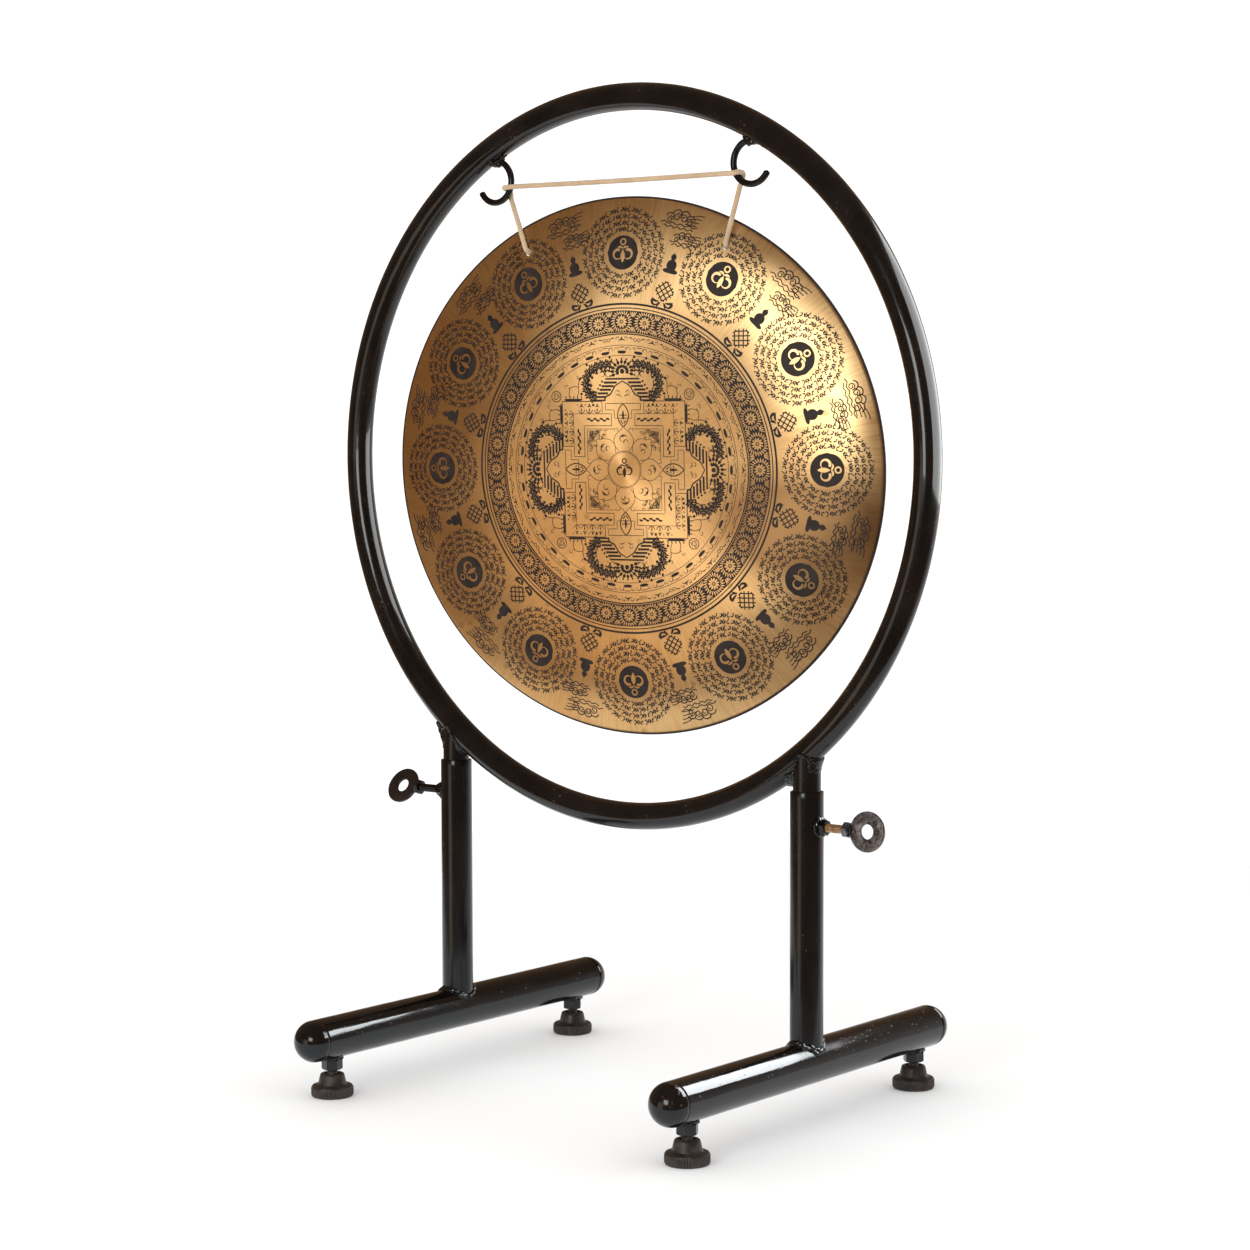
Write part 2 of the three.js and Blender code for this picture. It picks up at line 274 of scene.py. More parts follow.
class Shader:
    """A material on the Principled shader, with a few short calls for procedural detail."""

    def __init__(self, name, color, roughness, **sockets):
        self.material = bpy.data.materials.new(name)
        self.material.use_nodes = True
        self.tree = self.material.node_tree
        self.principled = self.tree.nodes["Principled BSDF"]
        self.set("Base Color", (*color, 1.0))
        self.set("Roughness", roughness)
        for socket, value in sockets.items():
            self.set(socket.replace("_", " "), value)
        self.height = None
        self.coordinates = self.node("ShaderNodeTexCoord").outputs["Object"]

    def set(self, socket, value):
        """Sets a constant on the Principled shader."""
        self.principled.inputs[socket].default_value = value

    def node(self, kind, inputs=None, **properties):
        return add_node(self.tree, kind, inputs, **properties)

    def math(self, operation, a, b=0.0):
        return self.node("ShaderNodeMath", {0: a, 1: b}, operation=operation).outputs[0]

    def times(self, a, b):
        return self.math("MULTIPLY", a, b)

    def plus(self, a, b):
        return self.math("ADD", a, b)

    def reach(self, a, b):
        """How far (a, b) is from (0, 0)."""
        return self.math("SQRT", self.plus(self.times(a, a), self.times(b, b)))

    def combined(self, x, y):
        """The vector (x, y, 0)."""
        return self.node("ShaderNodeCombineXYZ", {"X": x, "Y": y}).outputs[0]

    def stretched(self, scale):
        """The piece's own coordinates, scaled along each axis."""
        return self.node("ShaderNodeMapping", {"Vector": self.coordinates, "Scale": scale}).outputs[0]

    def noise(self, scale, detail=3.0, roughness=0.5, vector=None):
        vector = vector or self.coordinates
        inputs = {"Vector": vector, "Scale": scale, "Detail": detail, "Roughness": roughness}
        return self.node("ShaderNodeTexNoise", inputs).outputs["Fac"]

    def specks(self, scale, size):
        """0 to 1 spots, size of a cell's width, scattered at scale."""
        inputs = {"Vector": self.coordinates, "Scale": scale}
        distance = self.node("ShaderNodeTexVoronoi", inputs).outputs["Distance"]
        return self.ramp(distance, size * 0.6, size, 1.0, 0.0)

    def ramp(self, value, low, high, at_low=0.0, at_high=1.0):
        """at_low up to low, at_high from high on, and a straight run between."""
        inputs = {"Value": value, "From Min": low, "From Max": high, "To Min": at_low, "To Max": at_high}
        return self.node("ShaderNodeMapRange", inputs, clamp=True).outputs["Result"]

    def mix(self, factor, a, b):
        """Colour a where factor is 0, b where it is 1."""
        return mixed(self.tree, factor, a, b)

    def color(self, socket):
        self.tree.links.new(socket, self.principled.inputs["Base Color"])

    def roughness(self, socket):
        self.tree.links.new(socket, self.principled.inputs["Roughness"])

    def bump(self, height, distance):
        """Adds a bump on top of any before it; distance is the height in metres."""
        inputs = {"Height": height, "Distance": distance}
        if self.height is not None:
            inputs["Normal"] = self.height
        self.height = self.node("ShaderNodeBump", inputs).outputs["Normal"]
        for link in list(self.principled.inputs["Normal"].links):
            self.tree.links.remove(link)
        self.tree.links.new(self.height, self.principled.inputs["Normal"])


# The darkest and lightest colour of an enamel.
BLACK_TONES = (0.0015, 0.0013, 0.0015), (0.006, 0.0038, 0.0034)
HANDLE_TONES = (0.007, 0.0045, 0.004), (0.022, 0.013, 0.011)


def enamel_material(name, gloss, streaks, worn, tones=BLACK_TONES, coat=0.2, bumps=1.0):
    """Thick brushed-on enamel. gloss is its roughness; streaks scales the brush marks along each axis.

    worn is how far the rubbed specks show, and tones are its darkest and lightest colour.
    """
    shader = Shader(name, (0.004, 0.0035, 0.0035), gloss, Coat_Weight=coat, Coat_IOR=1.5)
    shader.set("Specular IOR Level", 0.46 - 0.5 * coat)
    shader.set("Specular Tint", (0.8, 0.9, 0.97, 1.0))
    shader.set("Coat Roughness", gloss * 0.4)
    brush = shader.noise(1.0, 4.0, 0.6, shader.stretched(streaks))
    patches = shader.noise(22.0, 3.0, 0.6)
    base = shader.mix(shader.ramp(patches, 0.4, 0.7), *tones)
    rubbed = shader.times(shader.specks(170.0, 0.16), shader.ramp(patches, 0.56, 0.72, 0.0, worn))
    shader.color(shader.mix(rubbed, base, (0.16, 0.13, 0.115)))
    shader.roughness(shader.ramp(brush, 0.3, 0.75, gloss * 0.7, gloss * 1.7))
    shader.bump(brush, 0.0003 * bumps)
    shader.bump(shader.noise(420.0, 2.0), 0.00003 * bumps)
    shader.bump(shader.specks(150.0, 0.16), 0.00012)
    return shader.material


def dented_enamel_material():
    """Enamel over knocked metal: small dents that each catch the light, and grey where it has rubbed."""
    shader = Shader("dented_enamel", (0.03, 0.028, 0.032), 0.16, Specular_IOR_Level=0.7)
    shader.set("Coat Weight", 0.9)
    shader.set("Coat IOR", 1.6)
    shader.set("Coat Roughness", 0.06)
    rubbed = shader.ramp(shader.noise(170.0, 4.0, 0.65), 0.45, 0.66)
    shader.color(shader.mix(rubbed, (0.01, 0.009, 0.012), (0.09, 0.085, 0.1)))
    shader.bump(shader.noise(150.0, 2.0, 0.5), 0.002)
    return shader.material


def etched_material():
    """Blackened etching, slightly uneven."""
    shader = Shader("etching", (0.012, 0.008, 0.007), 0.5, Specular_IOR_Level=0.35)
    patches = shader.noise(60.0, 3.0)
    rubbed = shader.ramp(patches, 0.35, 0.7)
    shader.color(shader.mix(rubbed, (0.008, 0.005, 0.005), (0.026, 0.016, 0.012)))
    shader.roughness(shader.ramp(patches, 0.3, 0.7, 0.42, 0.62))
    return shader.material


# The middle of the painted dark reflection at the right of the gong, a brown patch, and how much wider than
# high it is.
PAINTED_REFLECTION_PATCH = 0.17, -0.05, 1.8


def bronze_material(name, polish):
    """Bronze plate in the gong's own coordinates: waviness, radial scratches at the rim, tarnish, painted
    shade darker to the left and bottom, and a painted dark reflection at the right.
    """
    shader = Shader(name, (0.79, 0.53, 0.235), polish, Metallic=1.0, Anisotropic=0.75)
    turned = shader.node("ShaderNodeTangent", direction_type="RADIAL", axis="Y")
    shader.tree.links.new(turned.outputs[0], shader.principled.inputs["Tangent"])
    xyz = shader.node("ShaderNodeSeparateXYZ", {0: shader.coordinates})
    x, z = xyz.outputs["X"], xyz.outputs["Z"]
    angle = shader.math("ARCTAN2", z, x)
    radius = shader.reach(x, z)
    spokes = shader.combined(shader.times(angle, 95.0), shader.times(radius, 26.0))
    rings = shader.combined(shader.times(angle, 2.0), shader.times(radius, 900.0))
    radial = shader.noise(1.0, 3.0, 0.6, spokes)
    turning = shader.noise(1.0, 2.0, 0.5, rings)
    near_rim = shader.ramp(radius, 0.19, 0.24)
    tarnish = shader.noise(9.0, 5.0, 0.62)
    # Painted shade: the colour runs darker and warmer towards the left and the bottom of the gong, on top of
    # the random tarnish.
    painted_shade_lean = shader.plus(shader.times(x, -0.9), shader.times(z, -0.55))
    tarnish_and_painted_shade = shader.plus(shader.times(tarnish, 0.8), painted_shade_lean)
    warm = shader.mix(shader.ramp(tarnish_and_painted_shade, 0.18, 0.68), (0.84, 0.6, 0.305), (0.67, 0.38, 0.145))
    streaks = shader.times(shader.ramp(radial, 0.42, 0.7), 0.4)
    streaked = shader.mix(streaks, warm, (0.45, 0.25, 0.1))
    # Painted reflection: a dark brown patch on the right of the face, its edge roughened by the tarnish
    # noise.
    patch_x, patch_z, flatness = PAINTED_REFLECTION_PATCH
    aside = shader.math("SUBTRACT", x, patch_x)
    below = shader.times(shader.math("SUBTRACT", z, patch_z), flatness)
    away = shader.plus(shader.reach(aside, below), shader.times(tarnish, 0.05))
    with_painted_reflection = shader.mix(shader.ramp(away, 0.09, 0.15, 0.88, 0.0), streaked, (0.235, 0.13, 0.055))
    stains = shader.times(shader.specks(38.0, 0.14), 0.5)
    shader.color(shader.mix(stains, with_painted_reflection, (0.36, 0.2, 0.07)))
    shader.roughness(shader.ramp(shader.noise(24.0, 4.0), 0.3, 0.7, polish * 0.85, polish * 1.2))
    shader.bump(shader.noise(7.0, 1.0), 0.0035)
    shader.bump(shader.times(radial, near_rim), 0.00012)
    shader.bump(turning, 0.00001)
    shader.bump(shader.noise(1500.0, 2.0), 0.000012)
    return shader.material


def cotton_material():
    """Natural cotton: uneven yarn colour, soft sheen and fine fuzz."""
    shader = Shader("cotton", (0.74, 0.6, 0.43), 0.95, Sheen_Weight=0.35, Sheen_Roughness=0.5)
    yarn = shader.noise(900.0, 3.0, 0.7)
    patches = shader.noise(70.0, 3.0)
    base = shader.mix(shader.ramp(patches, 0.3, 0.7), (0.565, 0.405, 0.255), (0.45, 0.3, 0.175))
    shader.color(shader.mix(shader.ramp(yarn, 0.35, 0.7, 0.0, 0.5), base, (0.4, 0.27, 0.16)))
    shader.bump(yarn, 0.0006)
    return shader.material


def plastic_material():
    """Dark brown-black moulded plastic with dusty recesses."""
    shader = Shader("foot_plastic", (0.022, 0.017, 0.015), 0.4, Specular_IOR_Level=0.5)
    patches = shader.noise(90.0, 4.0, 0.6)
    shader.color(shader.mix(shader.ramp(patches, 0.45, 0.75), (0.017, 0.013, 0.012), (0.055, 0.04, 0.034)))
    shader.roughness(shader.ramp(patches, 0.3, 0.75, 0.28, 0.6))
    shader.bump(shader.noise(700.0, 2.0), 0.00004)
    return shader.material


def metal_material(name, bright, dull, roughness):
    """Bare screw metal with dull patches."""
    shader = Shader(name, bright, roughness, Metallic=0.85)
    patches = shader.noise(260.0, 4.0, 0.65)
    shader.color(shader.mix(shader.ramp(patches, 0.38, 0.66), bright, dull))
    shader.roughness(shader.ramp(patches, 0.3, 0.7, roughness * 0.8, roughness * 1.4))
    shader.bump(shader.noise(1800.0, 2.0), 0.00003)
    return shader.material


def floor_material():
    """Off-white paper."""
    shader = Shader("floor", (0.93, 0.93, 0.93), 0.6, Specular_IOR_Level=0.2)
    grain = shader.noise(3.0, 2.0)
    shader.color(shader.mix(grain, (0.93, 0.93, 0.93), (0.945, 0.945, 0.945)))
    return shader.material


HOOP_PAINT = enamel_material("hoop_enamel", 0.2, (30.0, 60.0, 30.0), 0.5, coat=0.65, bumps=0.45)
BASE_PAINT = enamel_material("base_enamel", 0.11, (70.0, 7.0, 70.0), 0.6)
LEG_PAINT = enamel_material("leg_enamel", 0.22, (90.0, 90.0, 6.0), 0.6, coat=0.35, bumps=0.7)
ROUGH_PAINT = enamel_material("weld_enamel", 0.2, (160.0, 160.0, 160.0), 0.8)
BRONZE = bronze_material("gong_bronze", 0.33)
BACK_BRONZE = bronze_material("gong_back", 0.42)
EDGE = metal_material("gong_edge", (0.16, 0.1, 0.05), (0.05, 0.03, 0.02), 0.5)
ETCH = etched_material()
COTTON = cotton_material()
PLASTIC = plastic_material()
ZINC = metal_material("stud_zinc", (0.24, 0.21, 0.18), (0.05, 0.04, 0.035), 0.45)
COPPERY = metal_material("screw_brass", (0.62, 0.4, 0.22), (0.24, 0.13, 0.07), 0.42)
HANDLE_PAINT = enamel_material("left_ring_enamel", 0.16, (60.0, 60.0, 60.0), 0.5, HANDLE_TONES)
DENTED_PAINT = dented_enamel_material()
HEAD_PAINT = {"left": ROUGH_PAINT, "right": DENTED_PAINT}
RING_PAINT = {"left": HANDLE_PAINT, "right": DENTED_PAINT}
THREAD_PAINT = {"left": (ROUGH_PAINT, "black_enamel"), "right": (COPPERY, "screw_brass")}


# ---------------------------------------------------------------- sizes, as in the CAD

HOOP_RADIUS, HOOP_TUBE, HOOP_Z = 0.331, 0.0125, 0.592
LEG_X, LEG_RADIUS, LEG_TOP = 0.2065, 0.015, 0.299
LEG_WALL, LEG_LIP = 1.8 * MM, 0.7 * MM
STUB_RADIUS, STUB_BOTTOM, STUB_WALL = 0.0125, 0.130, 2 * MM
BASE_RADIUS, BASE_Z, BASE_HALF = 0.0195, 0.055, 0.2
BASE_WALL, BASE_BEVEL = 2 * MM, 0.85 * MM
FOOT_Y, FOOT_NUT_Z = 0.178, 25.2 * MM
CLAMP_FLATS, HEAD_HEIGHT = 13 * MM, 5.3 * MM
CLAMP_Z = 0.268
CLAMP_REACH = {"left": 0.046, "right": 0.0405}
RING_TURN = {"left": -31.0, "right": -5.0}
RING_RADIUS, RING_HOLE, RING_HALF, RING_FILLET = 18 * MM, 6.5 * MM, 1.5 * MM, 0.9 * MM
HEX_CHAMFER = 0.02
LUMP_SPACING = 0.6
HOOK_RADIUS, HOOK_ROD = 0.0195, 0.003
HOOK_START, HOOK_END = -24.0, 244.0
HOOK_CENTRE = {"left": (-0.152, 0.8535), "right": (0.146, 0.856)}
GONG_RADIUS, GONG_THICK, GONG_RISE = 0.25, 0.0022, 0.02
GONG_CENTRE, GONG_YAW, GONG_LEAN = (-0.0002, 0.0175, 0.5833), 11.44, 2.95
HOLE_CIRCLE, HOLE_DEG, HOLE_RADIUS = 0.226, 26.6, 0.004
EDGE_ROUND = 0.4 * MM
# What is left between two solids that are screwed, pushed or welded together.
GAP = 0.3 * MM
CORD_DIAMETER, CORD_STRANDS, STRAND_DEPTH = 0.0045, 3, 0.14
SIDES = {"left": -1, "right": 1}
ENDS = {"front": -1, "back": 1}

GONG_PLACE = Matrix.Translation(GONG_CENTRE) @ spin(GONG_YAW, "Z") @ spin(GONG_LEAN, "X")

CORD_LEFT_DROP = [
    (-0.1366, 0.0051, 0.8359),
    (-0.1346, 0.0035, 0.834),
    (-0.127, -0.0026, 0.827),
    (-0.118, -0.0098, 0.8185),
    (-0.1104, -0.0159, 0.8115),
    (-0.1074, -0.0183, 0.8087),
    (-0.1062, -0.0189, 0.8063),
    (-0.1046, -0.0194, 0.803),
    (-0.1013, -0.0205, 0.7966),
    (-0.0988, -0.0214, 0.7915),
    (-0.0973, -0.022, 0.7886),
    (-0.0964, -0.0214, 0.7865),
    (-0.0963, -0.0195, 0.7854),
    (-0.0964, -0.0178, 0.7851),
    (-0.0966, -0.0165, 0.7851),
    (-0.0971, -0.0138, 0.7851),
]
CORD_RUN = [
    (-0.1383, 0.0062, 0.8382),
    (-0.1379, 0.0059, 0.8398),
    (-0.1376, 0.0055, 0.8416),
    (-0.139, 0.004, 0.8446),
    (-0.1398, 0.0, 0.8466),
    (-0.1379, -0.004, 0.8471),
    (-0.1336, -0.0057, 0.8473),
    (-0.126, -0.006, 0.8475),
    (-0.09, -0.006, 0.8472),
    (-0.045, -0.006, 0.8468),
    (0.0, -0.006, 0.8465),
    (0.045, -0.006, 0.8464),
    (0.09, -0.006, 0.8465),
    (0.121, -0.006, 0.8466),
    (0.1288, -0.0057, 0.8466),
    (0.1329, -0.004, 0.8473),
    (0.1349, 0.0, 0.8474),
    (0.134, 0.004, 0.8458),
    (0.132, 0.0057, 0.8426),
    (0.131, 0.0062, 0.8403),
    (0.1302, 0.0064, 0.8382),
]
CORD_RIGHT_DROP = [
    (0.1292, 0.0065, 0.8368),
    (0.1229, 0.0096, 0.8245),
    (0.1165, 0.0127, 0.8121),
    (0.1102, 0.0158, 0.7998),
    (0.1064, 0.0177, 0.7924),
    (0.1042, 0.0187, 0.7882),
    (0.1034, 0.0192, 0.7865),
    (0.1027, 0.0208, 0.7854),
    (0.1022, 0.0224, 0.7851),
    (0.1019, 0.0236, 0.7851),
    (0.1014, 0.0262, 0.7851),
]


# ---------------------------------------------------------------- the cord and its knots


def gong_rise(radius):
    """How far the gong's front face stands out of its rim's plane at a radius."""
    return GONG_RISE * (1 - (np.asarray(radius) / GONG_RADIUS) ** 4)


def hole_place(side):
    """A hanging hole's place on the gong, across and up from its middle."""
    angle = math.radians(HOLE_DEG)
    return side * HOLE_CIRCLE * math.sin(angle), HOLE_CIRCLE * math.cos(angle)


def strand_radius(radius, pitch, step):
    """A ring's radii for a cord of twisted strands."""

    def radii(i, angles):
        twist = 2 * math.pi * i * step / pitch
        ridges = np.abs(np.cos(CORD_STRANDS / 2 * (angles - twist)))
        return radius * (1 - STRAND_DEPTH + STRAND_DEPTH * ridges * 1.6)

    return radii


# From the middle of a knot, across, up and back.
CORD_TAIL = [
    (0.001, -0.003, 0.0005),
    (0.002, -0.007, 0.002),
    (0.0015, -0.012, 0.0028),
    (0.003, -0.0165, 0.0022),
]


def make_knot(name, side):
    """An overhand knot drawn up behind the gong, with a short frayed tail."""
    step = 0.55 * MM
    t = np.linspace(0, 2 * math.pi, 110, endpoint=False)
    loop = np.stack([np.sin(t) + 2 * np.sin(2 * t), np.cos(t) - 2 * np.cos(2 * t), -np.sin(3 * t)], 1)
    loop *= np.array([1.5, 1.5, 1.75]) * MM
    frayed_from = 22

    def frayed(i, angles):
        fray = 0.35 * max(0, i - frayed_from) / 8 * np.abs(np.sin(4.5 * angles))
        return CORD_DIAMETER * 0.46 * (1 + fray)

    knot_tube = tube_mesh(loop, strand_radius(CORD_DIAMETER * 0.47, 7 * MM, step), 18, closed=True)
    tail_tube = tube_mesh(resampled(CORD_TAIL, step), frayed, 18)
    verts, faces = joined([knot_tube, tail_tube])
    across, up = hole_place(side)
    back = -(gong_rise(HOLE_CIRCLE) - GONG_THICK)
    place = GONG_PLACE @ Matrix.Translation((across, back + 5.0 * MM, up)) @ spin(90, "X")
    knot = mesh_piece(name, moved(verts, place), faces, COTTON, "gong")
    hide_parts(name.replace("_tied", ""))
    return knot


def make_cord():
    """The hanging cord, from the left knot over both hooks to the right knot."""
    step = 0.5 * MM
    path = resampled(CORD_LEFT_DROP[::-1] + CORD_RUN + CORD_RIGHT_DROP, step)
    verts, faces = tube_mesh(path, strand_radius(CORD_DIAMETER / 2, 9 * MM, step), 24)
    cord = mesh_piece("hanging_cord", verts, faces, COTTON, None)
    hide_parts("cord_run", "left_cord_drop", "right_cord_drop")
    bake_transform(cord)
    knots = [make_knot(f"{side_name}_knot_tied", side) for side_name, side in SIDES.items()]


make_cord()


# ---------------------------------------------------------------- the gong plate


def recalculated(obj):
    """Turns every face of a closed piece outward."""
    mesh = bmesh.new()
    mesh.from_mesh(obj.data)
    bmesh.ops.recalc_face_normals(mesh, faces=mesh.faces)
    mesh.to_mesh(obj.data)
    mesh.free()


def applied(obj):
    """Applies an object's modifiers to its mesh."""
    graph = bpy.context.evaluated_depsgraph_get()
    mesh = bpy.data.meshes.new_from_object(obj.evaluated_get(graph))
    obj.modifiers.clear()
    old = obj.data
    obj.data = mesh
    bpy.data.meshes.remove(old)


def hole_cutter(side):
    """A rod where a hanging hole is bored."""
    profile = [(0.0, -0.03), (HOLE_RADIUS, -0.03), (HOLE_RADIUS, 0.03), (0.0, 0.03)]
    verts, faces = turned_mesh(profile, 40)
    across, up = hole_place(side)
    place = Matrix.Translation((across, 0, up)) @ spin(90, "X")
    cutter = mesh_piece(f"cutter_{side}", moved(verts, place), faces, EDGE, None)
    recalculated(cutter)
    return cutter


def make_gong():
    """The dished plate, with its rounded edge, its two holes and a darker back and edge."""
    flat_radius = GONG_RADIUS - EDGE_ROUND
    radii = np.linspace(0, flat_radius, 76)
    back = [(r, float(gong_rise(r)) - GONG_THICK) for r in radii]
    edge = []
    for k in range(1, 8):
        turn = math.pi * k / 8
        height = -GONG_THICK / 2 - GONG_THICK / 2 * math.cos(turn)
        edge.append((flat_radius + EDGE_ROUND * math.sin(turn), height))
    front = [(r, float(gong_rise(r))) for r in radii[::-1]]
    verts, faces = turned_mesh(back + edge + front, 300)
    gong = mesh_piece("gong_face", moved(verts, spin(90, "X")), faces, BRONZE, None)
    gong.data.materials.append(BACK_BRONZE)
    gong.data.materials.append(EDGE)
    back_index, edge_index = 1, 2
    recalculated(gong)
    for polygon in gong.data.polygons:
        centre = polygon.center
        radius = math.hypot(centre.x, centre.z)
        depth = -centre.y - float(gong_rise(min(radius, GONG_RADIUS)))
        if radius > flat_radius - 0.05 * MM:
            polygon.material_index = edge_index
        elif depth < -GONG_THICK / 2:
            polygon.material_index = back_index
    cutters = [hole_cutter(side) for side in SIDES.values()]
    for cutter in cutters:
        boolean = gong.modifiers.new("hole", "BOOLEAN")
        boolean.object = cutter
        boolean.solver = "EXACT"
        boolean.material_mode = "TRANSFER"
    applied(gong)
    for cutter in cutters:
        bpy.data.objects.remove(cutter)
    sharpen(gong, 50)
    gong.matrix_world = GONG_PLACE
    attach(gong, "gong")
    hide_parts("gong_plate")


make_gong()


# ---------------------------------------------------------------- the etched pattern
# Strokes are laid out in millimetres on the gong's face: x to the right, y up. A stroke is a centre
# line with a half width at each point, and becomes a thin inlay following the face.

R = GONG_RADIUS / MM
# A stroke with fewer points than LONG_STROKE is left out where it comes within HOLE_CLEARANCE of the
# middle of a hanging hole.
LONG_STROKE, HOLE_CLEARANCE = 60, 5.2
# Strokes are cut into quads no wider than WIDEST_QUAD and, in line(), no longer than LONGEST_STEP.
WIDEST_QUAD, LONGEST_STEP = 5.0, 4.0
# How high the top and the root of a stroke are above the face. Gold lies over dark.
DARK_LIFT, DARK_ROOT = 0.05, -0.12
GOLD_LIFT, GOLD_ROOT = 0.1, -0.02
# The rings of the pattern, each as a share of the gong's radius.
MEDALLION_CIRCLE, MEDALLION_DISC = 0.795, 0.0625
VINE_RINGS, VINE_HEIGHT = (0.0865, 0.1095, 0.1335, 0.158), 0.0188
ROSETTE_CIRCLE, ROSETTE_BAND = 0.5435, 0.0405
# The plain rings: radius, as a share of the gong's, and width in millimetres.
BORDER_RINGS = (0.9958, 1.5), (0.608, 1.9), (0.593, 1.0), (0.4985, 1.2), (0.4575, 0.5), (0.4205, 0.5)


class Inlay:
    """Collects strokes and makes them into one piece that follows the gong's face."""

    def __init__(self, lift=DARK_LIFT, root=DARK_ROOT):
        self.lift, self.root = lift, root
        self.verts, self.faces, self.count = [], [], 0

    def add(self, stroke, place=None):
        """Adds one stroke, unless it is a short one beside a hanging hole."""
        points, half = stroke
        if place is not None:
            points = points @ place[0].T + place[1]
        for side in SIDES.values():
            to_hole = np.linalg.norm(points - np.array(hole_place(side)) / MM, axis=1)
            if len(points) < LONG_STROKE and np.min(to_hole) < HOLE_CLEARANCE:
                return
        closed = len(points) > 8 and np.allclose(points[0], points[-1])
        along = np.gradient(points, axis=0)
        if closed:
            along[0] = along[-1] = points[1] - points[-2]
        along /= np.maximum(np.linalg.norm(along, axis=1), 1e-9)[:, None]
        normal = np.stack([-along[:, 1], along[:, 0]], 1)
        widest = float(np.max(half))
        across = max(1, int(math.ceil(widest * 2 / WIDEST_QUAD)))
        t = np.linspace(-1, 1, across + 1)
        top = points[:, None, :] + normal[:, None, :] * (half[:, None] * t[None, :])[:, :, None]
        n, m = top.shape[:2]
        flat = top.reshape(-1, 2)
        height = gong_rise(np.linalg.norm(flat, axis=1) * MM) / MM
        upper = np.stack([flat[:, 0], -(height + self.lift), flat[:, 1]], 1)
        lower = np.stack([flat[:, 0], -(height + self.root), flat[:, 1]], 1)
        base = self.count
        under = base + n * m
        self.verts += [upper * MM, lower * MM]
        self.count += 2 * n * m
        for i in range(n - 1):
            for j in range(m - 1):
                a, b = i * m + j, i * m + j + 1
                c, d = (i + 1) * m + j + 1, (i + 1) * m + j
                self.faces.append((base + a, base + b, base + c, base + d))
                self.faces.append((under + d, under + c, under + b, under + a))
            a, d = i * m, (i + 1) * m
            self.faces.append((base + a, base + d, under + d, under + a))
            b, c = i * m + m - 1, (i + 1) * m + m - 1
            self.faces.append((base + c, base + b, under + b, under + c))
        if not closed:
            for j in range(m - 1):
                a, b = j, j + 1
                self.faces.append((base + b, base + a, under + a, under + b))
                a, b = (n - 1) * m + j, (n - 1) * m + j + 1
                self.faces.append((base + a, base + b, under + b, under + a))

    def extend(self, strokes, place=None):
        """Adds several strokes."""
        for stroke in strokes:
            self.add(stroke, place)

    def piece(self, name, material):
        """Makes the piece from every stroke so far."""
        verts = np.concatenate(self.verts)
        obj = mesh_piece(name, verts, self.faces, material, None, smooth=False)
        obj.matrix_world = GONG_PLACE
        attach(obj, "gong")


def placed(x, y, degrees, mirror=False):
    """Where a motif goes: mirrored left to right, turned and moved."""
    a = math.radians(degrees)
    turn = np.array([[math.cos(a), -math.sin(a)], [math.sin(a), math.cos(a)]])
    if mirror:
        turn = turn @ np.array([[-1.0, 0.0], [0.0, 1.0]])
    return turn, np.array([x, y])


def around(radius, degrees):
    """A place at a radius and a bearing clockwise from the top, with the motif's up pointing outward."""
    a = math.radians(degrees)
    return placed(radius * math.sin(a), radius * math.cos(a), -degrees)


def within(place, radius, degrees):
    """A place that around() gives inside another place."""
    turn, at = around(radius, degrees)
    return place[0] @ turn, place[0] @ at + place[1]


def turned(strokes, turn):
    """Strokes turned about the middle of the gong."""
    return [(points @ turn.T, half) for points, half in strokes]


def smooth_path(points, step):
    """A smooth path through flat points, at even steps."""
    return resampled([(x, y, 0) for x, y in points], step)[:, :2]


def even(points, half):
    """A stroke of one half width."""
    return points, np.full(len(points), half)


def line(points, width):
    """An even stroke through points, with points added so that it follows the face."""
    points = np.asarray(points, float)
    out = [points[0]]
    for a, b in zip(points, points[1:]):
        count = max(1, int(math.ceil(np.linalg.norm(b - a) / LONGEST_STEP)))
        out += [a + (b - a) * k / count for k in range(1, count + 1)]
    return even(np.array(out), width / 2)


def leaf(points, width, power=0.8):
    """A stroke that tapers to both ends."""
    points = np.asarray(points, float)
    t = np.linspace(0, 1, len(points))
    return points, np.maximum(width / 2 * np.sin(math.pi * t) ** power, 0.02)


def comma(points, width):
    """A stroke that starts round and tapers to its end."""
    points = np.asarray(points, float)
    t = np.linspace(0, 1, len(points))
    return points, np.maximum(width / 2 * (1 - t) ** 0.7 * np.minimum(1, 0.55 + 4 * t), 0.02)


def arc(x, y, radius, start, end, count=9):
    """Points round part of a circle, from one angle to another."""
    a = np.radians(np.linspace(start, end, count))
    return np.stack([x + radius * np.cos(a), y + radius * np.sin(a)], 1)


def circle(radius, width, x=0.0, y=0.0, count=None):
    """An even stroke round a whole circle."""
    count = count or max(12, int(radius * 2 * math.pi / 3.0))
    return even(arc(x, y, radius, 0, 360, count + 1), width / 2)


def disc(x, y, radius, count):
    """A filled circle, as one stroke across it."""
    t = np.linspace(-1, 1, count)
    points = np.stack([x + t * radius, np.full(count, y)], 1)
    return points, np.maximum(radius * np.sqrt(1 - t * t), 0.03)


def outline(points, width):
    """An even stroke round a closed shape."""
    return line(list(points) + [points[0]], width)


def bend(start, end, bulge, count=6):
    """A shallow curve from start to end; bulge is how far its middle stands off, to the left."""
    start, end = np.asarray(start, float), np.asarray(end, float)
    t = np.linspace(0, 1, count)[:, None]
    normal = np.array([-(end - start)[1], (end - start)[0]])
    normal = normal / max(np.linalg.norm(normal), 1e-9)
    return start + (end - start) * t + normal * bulge * 4 * t * (1 - t)


def curl(x, y, radius, start, turns, width, count=12):
    """A spiral stroke that winds in to its middle."""
    t = np.linspace(0, 1, count)
    a = math.radians(start) + turns * 2 * math.pi * t
    r = radius * (1 - 0.78 * t)
    return comma(np.stack([x + r * np.cos(a), y + r * np.sin(a)], 1), width)


